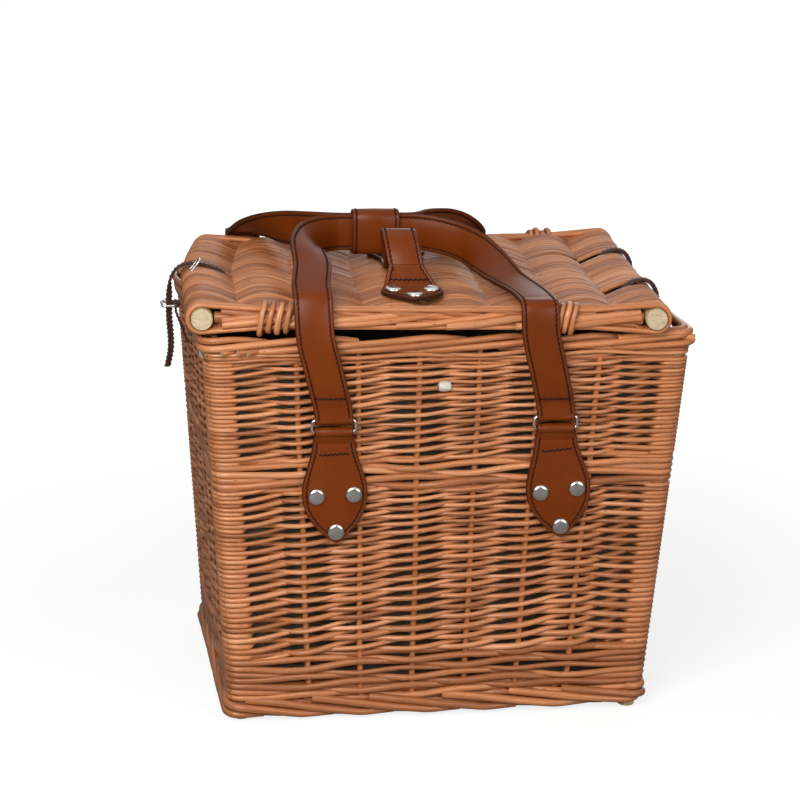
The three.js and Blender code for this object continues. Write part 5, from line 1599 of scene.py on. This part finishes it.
# What a lace's width and thickness leave for the whipping, and its thickness at its edges as a share
WHIP_ROOM, LACE_EDGE_SHARE = (0.9, 0.25), 0.8
HINGE_LACE_THICKNESS = 3.8

# Ways of the laces in X and Z from the middle of the dowel that they pass over
HINGE_LACE_WAY = (
    (-15, -6), (-13.5, 3), (-8, 10), (0, 13.3), (8, 11.8), (13.4, 4.5), (14.4, -5), (13.5, -15), (7, -22),
    (-5, -23), (-12, -17), (-15, -11), (-15, -6),
)
CLOSURE_LACE_WAY = ((27, -7), (24, 2), (14, 9.5), (3, 12.6), (-7, 12.4), (-14, 9))

# The closure's tail, its buckle and the keeper on the wall
TAIL_X, TAIL_LENGTH, TAIL_STRAIGHT, TAIL_TWIST = LID_LEFT_X - 20, 68, 8, (0.75, 0.66, 0)
BUCKLE_Z = LID_Z - 19
BUCKLE_WIRE, BUCKLE_WIDTH, BUCKLE_CORNER = 1, 16, RING_CORNER / 2
KEEPER_DROP, KEEPER_THICKNESS, KEEPER_EYE_THICKNESS = 30, 2, 1.8
BUCKLE_EYE = BUCKLE_WIRE + EYE_FIT + KEEPER_EYE_THICKNESS
BUCKLE_INNER_X = -(half_width(RIM_TOP) + RIM_OUTSET + GAP + BUCKLE_EYE)
BUCKLE_OUTER_X = TAIL_X - 5
BUCKLE_Y = turned(np.array((TAIL_X, CLOSURE_Y, 0.0)))[1]
PRONG_RADIUS, PRONG_TIP, PRONG_EYE_WIRE = 0.9, 0.6, 0.7
LOOP_PLACE = np.array((LID_LEFT_X - 3, CLOSURE_Y - 13, LID_Z + 11.5))
LOOP_SIZE, LOOP_WIRE, LOOP_UP = (5.2, 8.5, 2.2), 0.8, unit(np.array((0.62, 0.0, 0.78)))

# Plastic ties: the wall, the place along it and the height of each, their size and their way round a rod
TIES = {"front": (-3.5, 257.5), "left": (104.0, 280.0)}
TIE_RADIUS, TIE_OVAL, TIE_MIDDLE, TIE_DEPTH, TIE_HEIGHT = 4.6, (0.28, 1), 3.2, 3.4, 2.8


def lace(skin, path, across, thickness=LACE_THICKNESS):
    """A flat lace whose two edges are whipped with a thinner one."""
    path, across = respaced(path, LACE_STEP, path * 0 + across)
    _, across, out = strip_axes(path, across)
    w, t = LACE_WIDTH / 2 - WHIP_ROOM[0], thickness / 2 - WHIP_ROOM[1]
    side_t = t * LACE_EDGE_SHARE
    right, left = ((side, side_t, LACE_EDGE) for side in (w, -w))
    low_right, low_left = ((side, -side_t, LACE_EDGE) for side in (w, -w))
    skin.band(path, across, [(0, t, 0), right, low_right, (0, -t, 0), low_left, left])
    beat = run_of(path) * math.tau / WHIP_PITCH
    size = WHIP_SIZE * thickness * (1 + WHIP_SWELL * np.cos(beat))
    sway, height = WHIP_SWAY * np.cos(beat), WHIP_HEIGHT * np.sin(beat)
    for side in (-1, 1):
        line = path + across * (side * w + sway)[:, None] + out * height[:, None]
        rings = rings_round(line, size, across, out, WHIP_SIDES)
        skin.tube(rings[:, ::-1], run_of(line), edge=WHIP_EDGE)


def add_hinge_laces():
    """Laces that come out of the lid, pass over the right dowel and go down through the rim."""
    for row, sign in ROW_SIGNS.items():
        rod_x, lace_y, _ = turned(np.array((HINGE_X, sign * HINGE_LACE_Y, 0.0)))
        stops = [((rod_x + x, lace_y, LID_Z + z), DEPTHWAYS) for x, z in HINGE_LACE_WAY]
        skin = Skin(seed=121)
        lace(skin, *smooth_way(stops), thickness=HINGE_LACE_THICKNESS)
        piece(f"hinge_lace_{row}_leather", skin, "dark_leather", "basket", [f"hinge_lace_{row}"])


def add_closure_lace():
    """The lace over the left dowel, whose tail twists and hangs down through the buckle."""
    skin = Skin(seed=131)
    stops = [((LID_LEFT_X + x, CLOSURE_Y, LID_Z + z), DEPTHWAYS) for x, z in CLOSURE_LACE_WAY]
    stops += [
        ((TAIL_X + 1, CLOSURE_Y, LID_Z + 1), DEPTHWAYS),
        ((TAIL_X, CLOSURE_Y, BUCKLE_Z + TAIL_STRAIGHT), TAIL_TWIST),
        ((TAIL_X, CLOSURE_Y, BUCKLE_Z - TAIL_STRAIGHT), TAIL_TWIST),
        ((TAIL_X + 1.5, CLOSURE_Y, LID_Z - TAIL_LENGTH / 1.3), TAIL_TWIST),
        ((TAIL_X - 1, CLOSURE_Y, LID_Z - TAIL_LENGTH), TAIL_TWIST),
    ]
    lace(skin, *smooth_way(stops))
    piece("closure_lace", skin, "dark_leather", "closure", ["closure_strap"], place=in_lid)


def add_closure_loop():
    """A small wire loop that stands beside the closure lace on the lid."""
    skin = Skin(seed=135)
    loop = wire_loop(*LOOP_SIZE)
    loop = LOOP_PLACE + loop[:, :1] * ALONG_Y + loop[:, 1:2] * LOOP_UP
    skin.rod(loop, LOOP_WIRE, sides=10, up=np.cross(ALONG_Y, LOOP_UP), loop=True)
    piece("closure_loop_wire", skin, "nickel", "closure", place=in_lid)


def add_keeper():
    """The lace on the wall that holds the buckle, rolled round its inner wire."""
    skin = Skin(seed=132)
    low = BUCKLE_Z - KEEPER_DROP
    wall_x = -half_width(low) - GAP - KEEPER_EYE_THICKNESS / 2
    reach = BUCKLE_EYE - KEEPER_EYE_THICKNESS / 2
    way = (
        (BUCKLE_INNER_X, BUCKLE_Z - reach), (BUCKLE_INNER_X, RIM_LOW - GAP),
        ((BUCKLE_INNER_X + wall_x) / 2, (RIM_LOW + low) / 2), (wall_x, low),
    )
    stops = [((x, BUCKLE_Y, z), DEPTHWAYS) for x, z in way]
    lace(skin, *smooth_way(stops), thickness=KEEPER_THICKNESS)
    turn = np.linspace(0, math.tau, 28)
    ring = xyz(BUCKLE_INNER_X + reach * np.cos(turn), BUCKLE_Y, BUCKLE_Z + reach * np.sin(turn))
    lace(skin, ring, ALONG_Y, thickness=KEEPER_EYE_THICKNESS)
    piece("closure_keeper_lace", skin, "dark_leather", "basket", ["closure_keeper"])


def add_buckle_frame():
    skin = Skin(seed=133)
    loop = wire_loop((BUCKLE_INNER_X - BUCKLE_OUTER_X) / 2, BUCKLE_WIDTH / 2, BUCKLE_CORNER)
    loop += np.array(((BUCKLE_INNER_X + BUCKLE_OUTER_X) / 2, BUCKLE_Y, BUCKLE_Z))
    skin.rod(loop, BUCKLE_WIRE, sides=12, loop=True)
    piece("buckle_frame_wire", skin, "nickel", "basket", ["buckle_frame"])


def add_prong():
    """A pin that rests on the buckle's outer wire, with an eye round its inner one."""
    skin = Skin(seed=134)
    side = BUCKLE_Y + LACE_WIDTH / 2 + GAP + PRONG_RADIUS + GAP
    turn = np.linspace(0.1, math.tau - 0.4, 24)
    reach = BUCKLE_WIRE + PRONG_RADIUS
    eye_x, eye_z = BUCKLE_INNER_X + reach * np.cos(turn), BUCKLE_Z + reach * np.sin(turn)
    skin.rod(xyz(eye_x, side + 0.3 * turn / math.pi, eye_z), PRONG_EYE_WIRE, sides=10, up=ALONG_Y)
    rest = BUCKLE_Z + BUCKLE_WIRE + GAP + PRONG_RADIUS
    way = (
        (BUCKLE_INNER_X - 1.8, BUCKLE_Z), (BUCKLE_INNER_X - 4, BUCKLE_Z + 0.9), (BUCKLE_OUTER_X + 4, rest),
        (BUCKLE_OUTER_X, rest),
    )
    pin, _ = smooth_way([((x, side, z), LEVEL) for x, z in way])
    skin.rod(pin, np.linspace(PRONG_RADIUS, PRONG_TIP, len(pin)), sides=10)
    piece("buckle_prong_wire", skin, "nickel", "prong", ["buckle_prong"])


def add_ties():
    """Two small plastic ties that hold the liner, wrapped round rods of the weave."""
    turn = np.linspace(0, math.tau, 25)
    for wall, (w, z) in TIES.items():
        skin = Skin(seed=141)
        path = wall_points(wall, w, TIE_MIDDLE + TIE_DEPTH * np.cos(turn), z + TIE_HEIGHT * np.sin(turn))
        along = wall_points(wall, 1, 0, z) - wall_points(wall, 0, 0, z)
        skin.rod(path, TIE_RADIUS, sides=10, up=along, oval=TIE_OVAL)
        piece(f"tie_{wall}", skin, "tie", "basket")


# Stage: pale floor, soft light and the camera

# The camera at the photograph's viewing angle, in metres
CAMERA_TARGET = Vector((-0.0101, 0.0, 0.2150))
CAMERA_DISTANCE = 2.163
CAMERA_YAW, CAMERA_ELEVATION, CAMERA_ROLL = math.radians(-9.3), math.radians(14.78), math.radians(1.43)
CAMERA_LENS, CAMERA_SENSOR = 126.0, 36.0

# The studio's light, and the floor: how white it is near the object and far off, and where it changes
STUDIO_LEVEL, OVERHEAD_SHEEN = 0.12, 0.95
FLOOR_SIZE, FLOOR_DROP, FLOOR_GREY = 12.0, -0.0006, (0.3, 0.3, 0.3)
FLOOR_GLOW, FLOOR_FADE = (0.8, 1.0), (0.3, 1.1)
LAMP_TARGET = Vector((0, 0, 0.18))

# Lamps: place, width and height, and power
LAMPS = {
    "key": ((-0.58, -1.2, 0.92), (0.8, 0.8), 20),
    "fill": ((1.4, -2.2, 0.9), (1.2, 1.2), 21),
    "top": ((-0.2, 0.3, 2.2), (1.6, 1.2), 2),
    "back": ((0.7, 2.3, 0.6), (1.4, 1.0), 10),
}


def add_camera():
    camera = bpy.data.objects.new("camera", bpy.data.cameras.new("camera"))
    bpy.context.scene.collection.objects.link(camera)
    flat = math.cos(CAMERA_ELEVATION)
    back = Vector((math.sin(CAMERA_YAW) * flat, -math.cos(CAMERA_YAW) * flat, math.sin(CAMERA_ELEVATION)))
    camera.location = CAMERA_TARGET + back * CAMERA_DISTANCE
    camera.rotation_mode = "QUATERNION"
    camera.rotation_quaternion = (-back).to_track_quat("-Z", "Y") @ Quaternion((0, 0, 1), CAMERA_ROLL)
    camera.data.lens = CAMERA_LENS
    camera.data.sensor_width = CAMERA_SENSOR
    bpy.context.scene.camera = camera


def add_floor():
    """A plain pale floor. To the camera it turns white away from the object and its shadow."""
    mesh = bpy.data.meshes.new("floor")
    half = FLOOR_SIZE / 2
    corners = [(-half, -half, 0), (half, -half, 0), (half, half, 0), (-half, half, 0)]
    mesh.from_pydata(corners, [], [(0, 1, 2, 3)])
    floor = bpy.data.objects.new("floor", mesh)
    floor.location.z = FLOOR_DROP
    bpy.context.scene.collection.objects.link(floor)
    nodes = material_nodes("floor")
    nodes.finish(Base_Color=FLOOR_GREY, Roughness=0.9, Specular_IOR_Level=0.0)
    distance = nodes.node("ShaderNodeVectorMath", {0: nodes.place()}, operation="LENGTH").outputs["Value"]
    to_camera = nodes.node("ShaderNodeLightPath").outputs["Is Camera Ray"]
    white = nodes.combined("MULTIPLY", to_camera, nodes.span(distance, *FLOOR_GLOW, *FLOOR_FADE))
    glow = nodes.node("ShaderNodeEmission", {"Strength": white})
    both = nodes.node("ShaderNodeAddShader", {0: nodes.shader.outputs[0], 1: glow.outputs[0]})
    nodes.feed(nodes.tree.nodes["Material Output"].inputs["Surface"], both.outputs[0])
    mesh.materials.append(nodes.owner)


def add_lamp(name, place, size, power):
    light = bpy.data.lights.new(name, "AREA")
    light.shape = "RECTANGLE"
    light.size, light.size_y = size
    light.energy = power
    lamp = bpy.data.objects.new(name, light)
    bpy.context.scene.collection.objects.link(lamp)
    lamp.location = place
    lamp.rotation_mode = "QUATERNION"
    lamp.rotation_quaternion = (LAMP_TARGET - Vector(place)).to_track_quat("-Z", "Y")


def add_lights():
    """Four lamps in a dim studio that is white to the camera and has an overhead sheen."""
    for name, lamp in LAMPS.items():
        add_lamp(name, *lamp)
    world = bpy.data.worlds.new("studio")
    bpy.context.scene.world = world
    nodes = Nodes(world)
    rays = nodes.node("ShaderNodeLightPath").outputs
    seen = nodes.combined("MAXIMUM", rays["Is Camera Ray"], rays["Is Transmission Ray"])
    height = nodes.part(nodes.node("ShaderNodeTexCoord").outputs["Generated"], "Z")
    sheen = nodes.combined("MULTIPLY", rays["Is Glossy Ray"], nodes.span(height, 0.0, OVERHEAD_SHEEN))
    background = nodes.tree.nodes["Background"].inputs
    nodes.feed(background["Color"], (1, 1, 1))
    nodes.feed(background["Strength"], nodes.combined("ADD", nodes.span(seen, STUDIO_LEVEL, 1.0), sheen))
    bpy.context.scene.view_settings.view_transform = "Standard"


add_camera()
add_floor()
add_lights()
add_walls()
add_posts()
add_borders()
add_base()
add_liner()
add_lid_weave()
add_dowels()
add_lid_borders()
add_bindings()
add_straps()
add_grip_wrap()
add_tabs()
add_lid_handle()
add_hinge_laces()
add_closure_lace()
add_closure_loop()
add_keeper()
add_buckle_frame()
add_prong()
add_ties()
